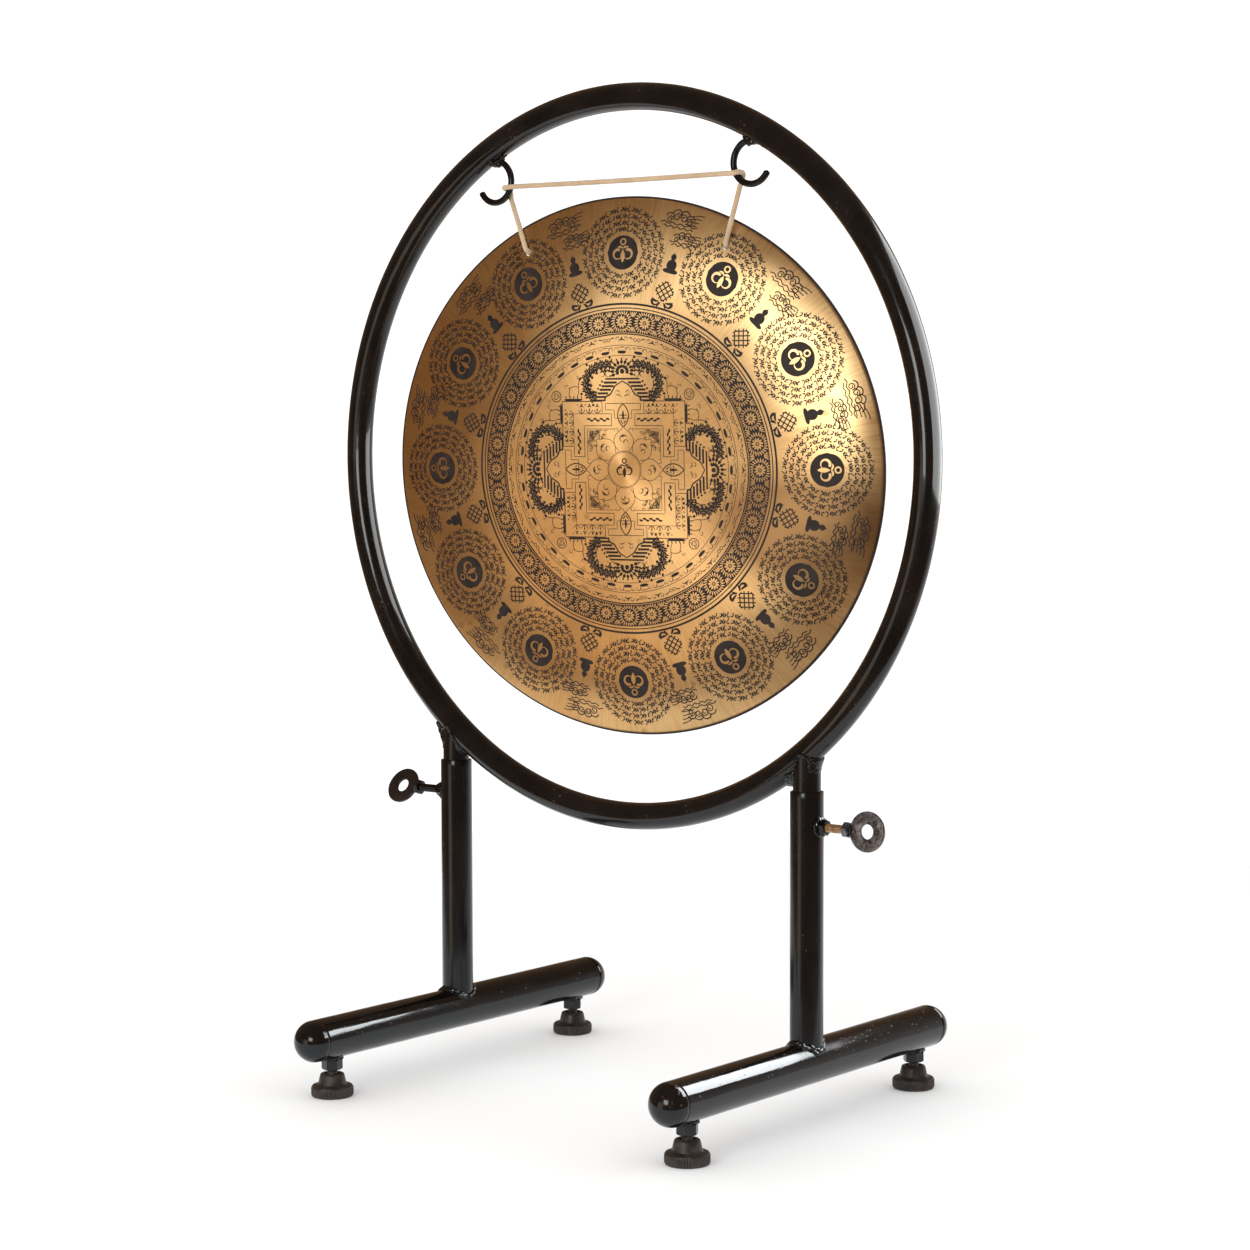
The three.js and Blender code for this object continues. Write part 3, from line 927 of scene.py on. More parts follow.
def sprig(scale):
    """A bud between two curled leaves, with a ring above: the gold ornament on a dark disc."""
    strokes = [
        leaf(bend((0, -7.0), (0, 2.2), 0, 8), 3.4),
        comma(arc(-3.9, -1.2, 3.3, 60, 330, 14), 2.3),
        comma(arc(3.9, -1.2, 3.3, 120, -150, 14), 2.3),
        leaf(bend((-4.6, 3.6), (0.2, 2.6), 0.9), 1.6),
        leaf(bend((4.6, 3.6), (-0.2, 2.6), -0.9), 1.6),
        circle(2.0, 1.1, 0, 7.6, 14),
    ]
    return [(points * scale, half * scale) for points, half in strokes]


def vine_ring(inlay, place, radius, height, seeded):
    """A ring of small leaves, berries and tendrils round a medallion."""
    count = int(2 * math.pi * radius / 3.9)
    h = height / 2
    for k in range(count):
        cell = within(place, radius, 360 * (k + seeded.uniform(-0.12, 0.12)) / count)
        lean = seeded.uniform(-0.4, 0.4)
        if k % 3 == 0:
            inlay.add(leaf(bend((0.2, -h), (-1.5 + lean, h * 0.8), 0.5, 4), 1.8), cell)
            inlay.add(leaf(bend((0.2, -h), (1.6 + lean, h * 0.7), -0.5, 4), 1.7), cell)
            inlay.add(leaf(bend((0.1, -h * 0.2), (0.2 + lean, h * 1.15), 0, 4), 1.25), cell)
        elif k % 3 == 1:
            inlay.add(comma(arc(0.1, -0.2, 1.35, 80, 350, 6), 1.4), cell)
            inlay.add(disc(0.2 + lean, h * 0.95, 0.75, 5), cell)
            inlay.add(leaf(bend((-1.8, -h * 0.9), (1.8, -h), 0.3, 4), 1.0), cell)
        else:
            inlay.add(comma(arc(-0.2, 0.4, 1.3, -100, 150, 6), 1.35), cell)
            inlay.add(leaf(bend((-1.6, -h * 0.8), (1.2, -h * 0.5), 0.5, 4), 1.6), cell)
            inlay.add(leaf(bend((1.2, -0.2), (1.7 + lean, h), 0.3, 4), 1.15), cell)


def bud_figure():
    """A dark bud on a low stand: the small solid ornament between the medallions."""
    y = np.linspace(-9, 10.8, 34)

    def oval(width, middle, height):
        return width * np.sqrt(np.maximum(0.0, 1 - ((y - middle) / height) ** 2))

    tip = np.where(y > 7.5, (10.8 - y) * 0.32, 0.0)
    neck = np.where(y < 7, 1.5, 0.05)
    ovals = [oval(7.6, -7.0, 2.5), oval(5.0, -1.6, 5.2), oval(2.7, 6.0, 2.9)]
    return [(np.stack([np.zeros_like(y), y], 1), np.max([*ovals, tip, neck], axis=0))]


def lattice_knot():
    """A woven lattice with curled leaves under it."""
    bars, beside = [], []
    pitch, reach, width = 3.9, 8.0, 1.05
    for k in (-1.5, -0.5, 0.5, 1.5):
        end = reach if abs(k) < 1 else reach - 2.2
        bars.append(line([(-end, k * pitch), (end, k * pitch)], width))
        bars.append(line([(k * pitch, -end), (k * pitch, end)], width))
    for s in (-1, 1):
        beside.append(line([(s * reach, -pitch / 2), (s * reach, pitch / 2)], width))
        beside.append(line([(-pitch / 2, s * reach), (pitch / 2, s * reach)], width))
        beside.append(comma(arc(s * 6.4, -9.8, 3.0, 90 - s * 60, 90 - s * 260, 9), 3.0))
        beside.append(leaf(bend((s * 2.4, -9.0), (s * 10.4, -7.2), -s * 1.2), 2.0))
        beside.append(leaf(bend((s * 1.0, -9.6), (s * 4.0, -14.6), s * 1.0), 2.2))
    weave = turned(bars, placed(0, 0, 45)[0])
    return [(points * 1.08, half * 1.12) for points, half in weave + beside]


def cloud(width, height, seeded):
    """A line-drawn cloud: linked spirals under a scalloped top, with trailing lines."""
    strokes = []
    for k in range(4):
        x = (k - 1.5) * width * 0.21
        y = height * (0.1 if k in (1, 2) else -0.1) + seeded.uniform(-0.4, 0.4)
        r = height * seeded.uniform(0.24, 0.3)
        way = 1 if k < 2 else -1
        t = np.linspace(0, 1, 13)
        a = math.radians(90 - way * 90) + way * 2 * math.pi * 1.35 * t
        ring = r * (1 - 0.72 * t)
        strokes.append(even(np.stack([x + ring * np.cos(a), y + ring * np.sin(a)], 1), 0.52))
        strokes.append(even(arc(x - way * 0.6, y + r * 0.55, r * 1.15, 10, 170, 8), 0.58))
    x = np.linspace(-width * 0.6, width * 0.62, 20)
    for k, drop in enumerate((0.34, 0.56)):
        wave = -height * drop + 0.9 * np.sin(x * 0.75 + k * 2)
        strokes.append(even(np.stack([x * (1 - 0.2 * k), wave], 1), 0.52))
    for k in range(4):
        start = (width * (0.34 - 0.05 * k), height * (0.3 - 0.17 * k))
        end = (width * (0.74 - 0.06 * k), height * (0.48 - 0.24 * k))
        strokes.append(even(bend(start, end, 0.9 - 0.4 * k, 6), 0.46))
    return strokes


def etch_medallions():
    """Twelve medallions near the rim, with buds, lattices and clouds between them."""
    seeded = random.Random(12)
    dark = Inlay()
    gold = Inlay(GOLD_LIFT, GOLD_ROOT)
    inner, outer = Inlay(), Inlay()
    for k in range(12):
        place = around(MEDALLION_CIRCLE * R, 30 * k)
        dark.add(disc(0, 0, MEDALLION_DISC * R, 17), place)
        gold.extend(sprig(1.3), place)
        for radius, rings in zip(VINE_RINGS, (inner, inner, outer, outer)):
            vine_ring(rings, place, radius * R, VINE_HEIGHT * R, seeded)
    dark.piece("medallion_discs", ETCH)
    inner.piece("medallion_inner_vines", ETCH)
    outer.piece("medallion_outer_vines", ETCH)
    gold.piece("medallion_gold", BRONZE)
    border = Inlay()
    for k in range(12):
        bearing = 30 * k + 15
        border.extend(bud_figure(), around(0.775 * R, bearing))
        border.extend(lattice_knot(), around(0.672 * R, bearing))
        border.extend(cloud(31, 14, seeded), around(0.935 * R, bearing - 1.2))
        border.extend(cloud(22, 11, seeded), around(0.868 * R, bearing + 1.2))
    for radius, width in BORDER_RINGS:
        border.add(circle(radius * R, width))
    border.piece("border_etching", ETCH)


def etch_bands():
    """The rosette band, gold on dark, and the two scroll bands inside it."""
    dark = Inlay()
    dark.add(even(arc(0, 0, ROSETTE_CIRCLE * R, 0, 360, 221), ROSETTE_BAND * R))
    gold = Inlay(GOLD_LIFT, GOLD_ROOT)
    rosettes = 36
    for k in range(rosettes):
        bearing = 360 * k / rosettes
        place = around(ROSETTE_CIRCLE * R, bearing)
        for j in range(11):
            petal = within(place, 3.7, 360 / 11 * j)
            gold.add(leaf(bend((0, -2.3), (0, 2.3), 0.3, 5), 1.7, 0.6), petal)
        gold.add(disc(0, 0, 0.8, 7), place)
        for j in range(24):
            a = math.radians(15 * j)
            low = np.array([math.cos(a), math.sin(a)]) * 6.7
            reach = min(11.2, 9.7 / max(0.2, abs(math.sin(a + 0.16))))
            high = np.array([math.cos(a + 0.2), math.sin(a + 0.2)]) * reach
            gold.add(leaf(bend(low, high, 0.5, 5), 1.15, 0.5), place)
        gap = around(ROSETTE_CIRCLE * R, bearing + 180 / rosettes)
        for s in (-1, 1):
            for j in range(4):
                x = (j - 1.5) * 1.5
                ray = bend((x * 0.35, s * 4.4), (x * 1.5, s * 9.6), s * 0.4, 5)
                gold.add(leaf(ray, 0.95, 0.5), gap)
    gold.piece("rosette_gold", BRONZE)
    for k in range(48):
        place = around(0.478 * R, 7.5 * k)
        if k % 2:
            dark.extend([circle(1.5, 0.6, -1.9, 0, 8), circle(1.5, 0.6, 1.9, 0, 8)], place)
            for s in (-1, 1):
                dark.add(leaf(bend((s * 3.6, 0), (s * 8.8, 1.2), s * 0.9), 1.1), place)
        else:
            dark.add(leaf(bend((-4.2, -1.4), (4.2, -1.4), 1.5, 7), 1.3), place)
            dark.add(disc(0, 1.5, 0.9, 7), place)
            for s in (-1, 1):
                dark.add(comma(arc(s * 4.4, 0.9, 1.5, 90 + s * 80, 90 - s * 170, 8), 1.0), place)
    for k in range(40):
        place = around(0.4385 * R, 9 * k)
        dark.add(leaf(bend((-4.6, -1.3), (4.6, -1.3), -0.3, 9), 2.9, 0.3), place)
        dark.add(comma(arc(6.2, 0.6, 2.1, 200, -60, 9), 1.0), place)
        dark.add(leaf(bend((-4.0, 2.2), (4.6, 2.4), 0.8, 6), 0.8), place)
        dark.add(comma(arc(-5.6, 1.0, 1.6, -20, 220, 8), 0.8), place)
    dark.piece("band_etching", ETCH)


def wreath_side(s):
    """One side of a gate's wreath: a stem thick with leaves, berries and curls."""
    strokes = []
    stem = [(27, 65), (34, 68), (37.5, 75), (37.5, 83), (33.5, 91), (26, 95), (18, 97), (11, 97)]
    path = smooth_path(stem, 1.75)
    strokes.append(even(path * (s, 1), 0.7))
    for i, point in enumerate(path[:-1]):
        along = path[i + 1] - point
        along = along / np.linalg.norm(along)
        out = np.array([along[1], -along[0]])
        for side in (-1, 1):
            reach = (4.6, 3.2, 5.4)[(i + side) % 3]
            tip = point + out * side * reach + along * 1.8
            blade = bend(point + out * side * 0.8, tip, side * 0.8, 5)
            strokes.append(leaf(blade * (s, 1), 1.9, 0.5))
        if i % 3 == 1:
            x, y = point + out * (6.3 if i % 2 else -5.6)
            strokes.append(disc(s * x, y, 1.35, 7))
        if i % 5 == 2:
            x, y = point - 4.6 * out
            strokes.append(curl(s * x, y, 2.2, 90, 1.1, 1.3))
    return strokes


def gate():
    """One of the four gates of the square, with its dome, stepped roof and wreath."""
    door = [(-9, 47.5), (-9, 55), (-18, 55), (-18, 61), (18, 61), (18, 55), (9, 55), (9, 47.5)]
    dome = [(18.5, 63.5), (17.5, 67), (13, 69.2), (10.5, 72.5), (7.5, 77), (3.5, 79.6), (0, 81.5)]
    strokes = [outline(door, 0.6)]
    y = np.linspace(-10.5, 10.5, 13)
    almond = 5.6 * np.cos(y / 10.6 * math.pi / 2) ** 0.75
    for s in (-1, 1):
        strokes.append(line([(s * 12, 40), (s * 12, 51.5), (s * 21.5, 51.5), (s * 21.5, 63)], 0.6))
        strokes.append(even(np.stack([s * almond, y + 50], 1), 0.52))
        strokes.append(comma(arc(s * 2.4, 48.6, 1.9, 90 - s * 60, 90 + s * 220, 8), 1.0))
        strokes.append(leaf(bend((s * 0.6, 41.5), (s * 3.4, 46), s * 0.6), 1.2))
        path = smooth_path([(s * x, v) for x, v in dome], 1.6)
        strokes.append((path, np.linspace(0.8, 0.5, len(path))))
        strokes.append(leaf(bend((s * 1.2, 66.5), (s * 7.5, 68.2), s * 1.6), 1.0))
        strokes.append(comma(arc(s * 5.2, 71.2, 1.8, 90 + s * 100, 90 - s * 160, 8), 0.9))
        for k in range(5):
            inner = 17.8 - k * 3.0
            outer = 28.0 - k * 2.2
            height = 67.0 + k * 3.3
            strokes.append(line([(s * inner, height), (s * outer, height)], 2.0))
            strokes.append(disc(s * (outer + 1.6), height + 1.0, 1.1, 7))
        strokes.append(line([(s * 17.5, 63.9), (s * 30, 63.9)], 1.6))
        strokes += wreath_side(s)
    strokes.append(line([(-17.5, 83.6), (17.5, 83.6)], 1.6))
    strokes.append(leaf(bend((0, 45), (0, 55), 0, 6), 2.2))
    for k in range(11):
        a = math.radians(90 + (k - 5) * 22)
        for low, high, width in ((2.8, 6.4, 2.4), (6.6, 10.6, 3.0), (10.4, 12.6, 1.7)):
            ends = [(r * math.cos(a) * 1.15, 90.5 + r * math.sin(a)) for r in (low, high)]
            strokes.append(leaf(bend(*ends, 0.5, 5), width, 0.5))
    strokes.append(disc(0, 90.5, 2.3, 9))
    for s in (-1, 1):
        strokes.append(comma(arc(s * 14.5, 88.5, 3.0, 90 + s * 60, 90 - s * 210, 10), 1.8))
        strokes.append(comma(arc(s * 20.5, 88.0, 2.4, 90 - s * 60, 90 + s * 210, 10), 1.5))
    return strokes


def corner():
    """What stands at each corner of the square: swirl ring, ground bars and line sprigs."""
    strokes = [circle(4.9, 0.8, 67.5, 69, 26)]
    for k in range(3):
        strokes.append(curl(67.5, 69, 3.3, 120 * k, 0.6, 0.9, 9))
    for flip in (False, True):
        turn = placed(0, 0, -90, mirror=True)[0] if flip else np.eye(2)
        items = [
            leaf(bend((41, 64.6), (61.5, 64.6), -0.3, 9), 2.4, 0.25),
            even(bend((47, 67), (45.5, 77), 0.8, 6), 0.32),
            even(bend((55.5, 67), (54, 76), -0.6, 6), 0.32),
            even(bend((45.5, 76), (56, 74.5), 1.4, 8), 0.32),
            even(bend((45.5, 77), (43.5, 84), -0.7, 6), 0.36),
            curl(45.5, 85.5, 2.3, 200, 0.9, 0.8),
            curl(41.8, 86.0, 1.9, -20, -0.9, 0.8),
            curl(58.5, 76.5, 2.2, 180, -0.9, 0.7),
        ]
        for k in range(5):
            items.append(leaf(bend((42.5 + 4 * k, 65), (43.5 + 4 * k, 68), 0.4, 4), 1.2))
        strokes += turned(items, turn)
    return strokes


def quarter_court():
    """One quarter of the square's nested courts. A way of -1 mirrors a stroke across the diagonal."""
    strokes = []
    for reach, start, width in ((63, 21.5, 0.8), (51.5, 21.5, 0.5), (40.5, 12, 0.6), (37.5, 9, 0.5)):
        strokes.append(line([(start, reach), (reach, reach), (reach, start)], width))
    for k in range(4):
        x = 26.5 + k * 8.2
        for way in (1, -1):
            if way < 0 and k == 3:
                continue
            strokes.append(even(arc(x, 55.2, 3.1, 180, 360, 8)[:, ::way], 0.36))
            strokes.append(comma(bend((x, 56.5), (x, 51.8), 0.2, 5)[:, ::way], 1.5))
            strokes.append(leaf(bend((x - 2.6, 57.6), (x + 2.6, 57.6), 0.8, 5)[:, ::way], 1.1))
            strokes.append(disc(*(x, 59.8)[::way], 0.9, 7))
            strokes.append(disc(*(x + 4, 59.8)[::way], 0.65, 7))
    for k in range(7):
        x = 16.0 + k * 3.3
        blade = bend((x - 2.2, 45.6), (x + 2.2, 46.4), 0.9 * (-1) ** k, 5)
        strokes += [leaf(blade[:, ::way], 2.0, 0.5) for way in (1, -1)]
    for k in range(13):
        span = 22.0 + k * 1.15
        strokes.append(line([(span + 0.5, 37.0 - k * 0.15), (37.0 - k * 0.15, span + 0.5)], 0.42))
    seeded = random.Random(5)
    for k in range(58):
        x, y = seeded.uniform(17, 35.5), seeded.uniform(17, 35.5)
        if x + y > 50:
            radius = seeded.uniform(0.9, 1.6)
            strokes.append(comma(arc(x, y, radius, k * 47, k * 47 + 210, 6), 0.75))
    return strokes


def lotus():
    """Eight petals with small flourishes round the central disc."""
    petal_side = [(5.2, 17.2), (9.4, 22.5), (9.8, 28.5), (6.4, 34), (2.8, 36.6), (0, 40)]
    strokes = [circle(17.0, 0.6), circle(15.9, 0.3)]
    for k in range(8):
        turn = placed(0, 0, 45 * k)[0]
        items = []
        for s in (-1, 1):
            path = smooth_path([(s * x, y) for x, y in petal_side], 2.4)
            items.append(even(path, 0.27))
            items.append(comma(arc(s * 7.6, 36.2, 2.0, 90 + s * 120, 90 - s * 150, 8), 0.75))
        items.append(comma(arc(-1.7, 28.5, 2.4, 40, 300, 9), 1.35))
        items.append(comma(arc(2.2, 25.4, 2.2, 210, -40, 9), 1.2))
        items.append(leaf(bend((-3.0, 31.4), (3.4, 30.2), 0.9, 6), 1.3))
        strokes += turned(items, turn)
    return strokes


def etch_court():
    """The square court in the middle, with its gates, corners and lotus."""
    dark = Inlay()
    for k in range(4):
        place = placed(0, 0, 90 * k)
        dark.extend(gate(), place)
        dark.extend(corner(), place)
        dark.extend(quarter_court(), place)
    dark.extend(lotus())
    dark.extend(sprig(1.05))
    dark.piece("court_etching", ETCH)


etch_medallions()
etch_bands()
etch_court()


# ---------------------------------------------------------------- the painted frame


def piece_for(node, name, shape, material, body, degrees=35, place=None):
    """A piece that takes the place of one CAD node. Edges sharper than degrees stay crisp."""
    verts, faces = shape
    if place is not None:
        verts = moved(verts, place)
    obj = mesh_piece(name, verts, faces, material, body)
    recalculated(obj)
    sharpen(obj, degrees)
    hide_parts(node)


def hoop_underside(x, y):
    """Height of the hoop's lower surface above a point (x, y)."""
    reach = HOOP_RADIUS + math.sqrt(max(0.0, HOOP_TUBE**2 - y * y))
    return HOOP_Z - math.sqrt(reach**2 - x * x)


def base_rise(x):
    """How far a base tube's surface is above its axis, x to the side of it."""
    return math.sqrt(BASE_RADIUS**2 - x * x)


def tube_between(outer, inner, foot_at, head_at, rows, lip=0.0):
    """An upright tube about +Z whose ends follow foot_at(x, y) and head_at(x, y).

    lip rounds the outside of its upper end.
    """
    segments = 72
    stations = [(inner, t) for t in np.linspace(1, 0, rows)] + [(outer, t) for t in np.linspace(0, 1, rows)]
    if lip:
        stations += [(outer - lip * (1 - math.cos(a)), 1 + lip * math.sin(a) * 0.5) for a in (0.5, 1.0, 1.5)]
    verts = []
    for radius, t in stations:
        for j in range(segments):
            a = 2 * math.pi * j / segments
            x, y = radius * math.cos(a), radius * math.sin(a)
            low, high = foot_at(x, y), head_at(x, y)
            verts.append((x, y, low + (high - lip * 0.5 - low) * min(t, 1.0) + max(0.0, t - 1)))
    return np.array(verts), grid_faces(len(stations), segments, wrap_rows=True)


def hexagon_mesh(flats, height, hole=0.0):
    """A chamfered hexagon standing on z = 0, with a round hole through it if hole isn't 0."""
    apothem = flats / 2
    corner = flats / math.sqrt(3)
    slope = math.tan(math.radians(30))
    start = apothem * (1 - HEX_CHAMFER)
    reach = (corner - start) * slope
    steps = [(start + (corner - start) * t, reach * t) for t in np.linspace(0, 1, 5)]
    profile = [(hole, 0.0)] + steps + [(r, height - z) for r, z in steps[::-1]] + [(hole, height)]
    if hole:
        profile.append(profile[0])

    def wobble(k, a):
        limit = apothem / math.cos((a % (math.pi / 3)) - math.pi / 6)
        return min(1.0, limit / profile[k][0]) - 1

    return turned_mesh(profile, 72, wobble)


def threaded_mesh(root, crest, pitch, bottom, top):
    """A right-handed threaded rod about +Z, between two radii and two heights."""
    rows = int((top - bottom) / (pitch / 7))
    heights = np.linspace(bottom, top, rows)
    profile = [(0.0, bottom)] + [(crest, z) for z in heights] + [(0.0, top)]

    def wobble(k, a):
        z = profile[k][1]
        phase = (z / pitch - a / (2 * math.pi)) % 1.0
        depth = min(1.0, 1.25 * (1 - abs(2 * phase - 1)))
        end = min(1.0, min(z - bottom, top - z) / (0.6 * pitch))
        return (root + (crest - root) * depth * max(0.0, end)) / crest - 1

    return turned_mesh(profile, 28, wobble)


def make_hoop():
    """The ring, in thick paint that has run a little, and the two stubs under it."""
    turns = np.linspace(0, 2 * math.pi, 420, endpoint=False)
    centre = [(HOOP_RADIUS * math.cos(a), 0, HOOP_Z + HOOP_RADIUS * math.sin(a)) for a in turns]

    def radii(i, angles):
        a = turns[i]
        drips = [smooth_noise(3 * math.cos(a) + 9, 3 * math.sin(a), 1.5 * math.cos(b)) for b in angles]
        fine = [smooth_noise(34 * math.cos(a), 34 * math.sin(a), 2.5 * math.cos(b) + 7) for b in angles]
        return HOOP_TUBE * (1 + 0.006 * np.array(drips) + 0.006 * np.array(fine))

    ring = tube_mesh(centre, radii, 44, closed=True)
    piece_for("hoop_tube", "hoop_ring", ring, HOOP_PAINT, "hoop")
    for side_name, side in SIDES.items():
        stub = tube_between(
            STUB_RADIUS,
            STUB_RADIUS - STUB_WALL,
            lambda x, y: STUB_BOTTOM,
            lambda x, y: hoop_underside(abs(x + side * LEG_X), y) + 0.4 * MM,
            rows=14,
        )
        place = Matrix.Translation((side * LEG_X, 0, 0))
        piece_for(f"{side_name}_stub", f"{side_name}_stub_tube", stub, LEG_PAINT, "hoop", place=place)


def hook_point(side_name, side, degrees):
    """The x and z of a point on a hook's centre line, by its angle from the hook's top."""
    cx, cz = HOOK_CENTRE[side_name]
    a = math.radians(degrees)
    return cx - side * HOOK_RADIUS * math.sin(a), cz + HOOK_RADIUS * math.cos(a)


def make_hook(side_name, side):
    """A rod bent to an open C, with a rounded tip and lumpy paint."""
    steps = 96
    sweep = HOOK_END - HOOK_START
    places = [hook_point(side_name, side, HOOK_START + sweep * k / steps) for k in range(steps + 1)]
    step = HOOK_RADIUS * math.radians(sweep) / steps

    def radii(i, angles):
        short = max(0.0, 1 - (steps - i) * step / (HOOK_ROD * 0.7))
        tip = math.sqrt(max(0.02, 1 - short**2))
        wave = [smooth_noise(i * 0.12, 2.0 * math.cos(b) + side, 2.0 * math.sin(b)) for b in angles]
        return HOOK_ROD * tip * (1 + 0.05 * np.array(wave))

    rod = tube_mesh([(x, 0.0, z) for x, z in places], radii, 24)
    piece_for(f"{side_name}_hook", f"{side_name}_hook_rod", rod, ROUGH_PAINT, "hoop", degrees=60)


def make_leg(side_name, side):
    """One leg: the upright, the base tube under it, and the caps and feet at the base's ends."""
    body = f"{side_name}_leg"
    verts, faces = tube_between(
        LEG_RADIUS,
        LEG_RADIUS - LEG_WALL,
        lambda x, y: BASE_Z + base_rise(x) - GAP,
        lambda x, y: LEG_TOP,
        rows=40,
        lip=LEG_LIP,
    )
    swell = [1 + 0.006 * smooth_noise(v[0] * 60 + side, v[1] * 60, v[2] * 35) for v in verts]
    verts[:, :2] *= np.array(swell)[:, None]
    stand = Matrix.Translation((side * LEG_X, 0, 0))
    upright = f"{side_name}_upright"
    piece_for(f"{side_name}_leg_tube", upright, (verts, faces), LEG_PAINT, body, place=stand)
    inner = BASE_RADIUS - BASE_WALL
    bevel = BASE_RADIUS - BASE_BEVEL
    rows = np.linspace(-BASE_HALF + BASE_BEVEL, BASE_HALF - BASE_BEVEL, 120)
    profile = [(bevel, -BASE_HALF)] + [(BASE_RADIUS, z) for z in rows] + [(bevel, BASE_HALF)]
    profile += [(inner, BASE_HALF), (inner, -BASE_HALF), profile[0]]

    def ripple(k, a):
        return 0.006 * smooth_noise(profile[k][1] * 45 + side * 5, 1.6 * math.cos(a), 1.6 * math.sin(a))

    pipe = turned_mesh(profile, 72, ripple)
    lay = Matrix.Translation((side * LEG_X, 0, BASE_Z)) @ spin(90, "X")
    piece_for(f"{side_name}_base_tube", f"{side_name}_base_pipe", pipe, BASE_PAINT, body, place=lay)
    for end_name, way in ENDS.items():
        make_cap(f"{end_name}_{side_name}", side, way, body)
        make_foot(f"{end_name}_{side_name}", side, way, body)


def make_cap(corner, side, way, body):
    """A hollow dome on one end of a base tube."""
    inner = BASE_RADIUS - BASE_WALL
    bevel = BASE_RADIUS - BASE_BEVEL
    turns = np.linspace(0, math.pi / 2, 26)[:-1]
    dome = [(BASE_RADIUS * math.cos(a), BASE_BEVEL + bevel * math.sin(a)) for a in turns]
    dome = [(bevel, 0.0)] + dome + [(0.0, BASE_RADIUS)]
    hollow = [(inner * math.cos(a), inner * math.sin(a)) for a in turns] + [(0.0, inner)]
    profile = dome + hollow[::-1] + [dome[0]]

    def ripple(k, a):
        along = profile[k][1] * 90 + side * 5
        return 0.005 * smooth_noise(along, 1.6 * math.cos(a) + way, 1.6 * math.sin(a))

    cap = turned_mesh(profile, 72, ripple)
    place = Matrix.Translation((side * LEG_X, way * (BASE_HALF + GAP), BASE_Z)) @ spin(-90 * way, "X")
    piece_for(f"{corner}_end_cap", f"{corner}_dome", cap, BASE_PAINT, body, degrees=50, place=place)


# Radius and height in millimetres, from the underside of the wheel's rim to the socket in the cone.
KNOB_PROFILE = [
    (16.6, 0.0), (18.2, 0.0), (18.9, 0.35), (19.25, 1.0), (19.3, 1.5), (19.8, 2.0), (19.8, 4.0),
    (19.8, 6.0), (19.8, 8.2), (19.3, 8.7), (19.2, 9.2), (18.7, 9.95), (17.7, 10.4), (16.4, 10.5),
    (15.3, 10.45), (14.0, 10.7), (13.2, 11.6), (12.9, 13.0), (12.4, 15.5), (11.8, 18.2), (11.3, 20.0),
    (10.7, 21.0), (9.9, 21.45), (9.0, 21.5), (8.3, 21.3), (7.9, 20.6), (7.6, 19.6),
    (5.15, 19.4), (5.15, 6.3), (0.0, 6.3),
]
KNURLS = 48


def knob_mesh():
    """The foot's knurled wheel and cone, moulded in one."""
    pad = [(0.0, 0.8 * MM), (15.8 * MM, 0.8 * MM)]
    profile = pad + [(r * MM, z * MM) for r, z in KNOB_PROFILE]

    def wobble(k, a):
        radius, height = profile[k]
        if radius < 19.4 * MM or not 1.8 * MM < height < 8.4 * MM:
            return 0.0
        return -0.045 * (0.5 + 0.5 * math.cos(KNURLS * a)) ** 1.5

    return turned_mesh(profile, KNURLS * 6, wobble)


def make_foot(corner, side, way, body):
    """A foot screw: the nut under the base, the stud through it, and the knob that turns it."""
    x, y = side * LEG_X, way * FOOT_Y
    at = Matrix.Translation((x, y, 0))
    nut = hexagon_mesh(flats=17 * MM, height=10 * MM, hole=5.2 * MM)
    place = Matrix.Translation((x, y, FOOT_NUT_Z)) @ spin(11 * way + 7 * side, "Z")
    piece_for(f"{corner}_foot_nut", f"{corner}_nut", nut, ROUGH_PAINT, body, place=place)
    stud = threaded_mesh(root=4.1 * MM, crest=4.85 * MM, pitch=1.5 * MM, bottom=6.4 * MM, top=50 * MM)
    piece_for(f"{corner}_foot_stud", f"{corner}_screw", stud, ZINC, f"{corner}_stud", 60, at)
    knob, knob_body = f"{corner}_foot_knob", f"{corner}_knob"
    piece_for(knob, f"{corner}_wheel", knob_mesh(), PLASTIC, knob_body, 50, at)


def washer_mesh(outer, inner, half, fillet, side):
    """A big washer about +Z with rounded corners. side makes its paint's waviness its own."""
    high, low = half - fillet, fillet - half
    corners = [
        (outer - fillet, high, 90),
        (outer - fillet, low, 0),
        (inner + fillet, low, -90),
        (inner + fillet, high, -180),
    ]
    profile = []
    for cx, cz, start in corners:
        for k in range(6):
            a = math.radians(start - 18 * k)
            profile.append((cx + fillet * math.cos(a), cz + fillet * math.sin(a)))
    profile.append(profile[0])

    def ripple(k, a):
        return 0.008 * smooth_noise(3 * math.cos(a) + side, 3 * math.sin(a), 0.5)

    return turned_mesh(profile, 96, ripple)


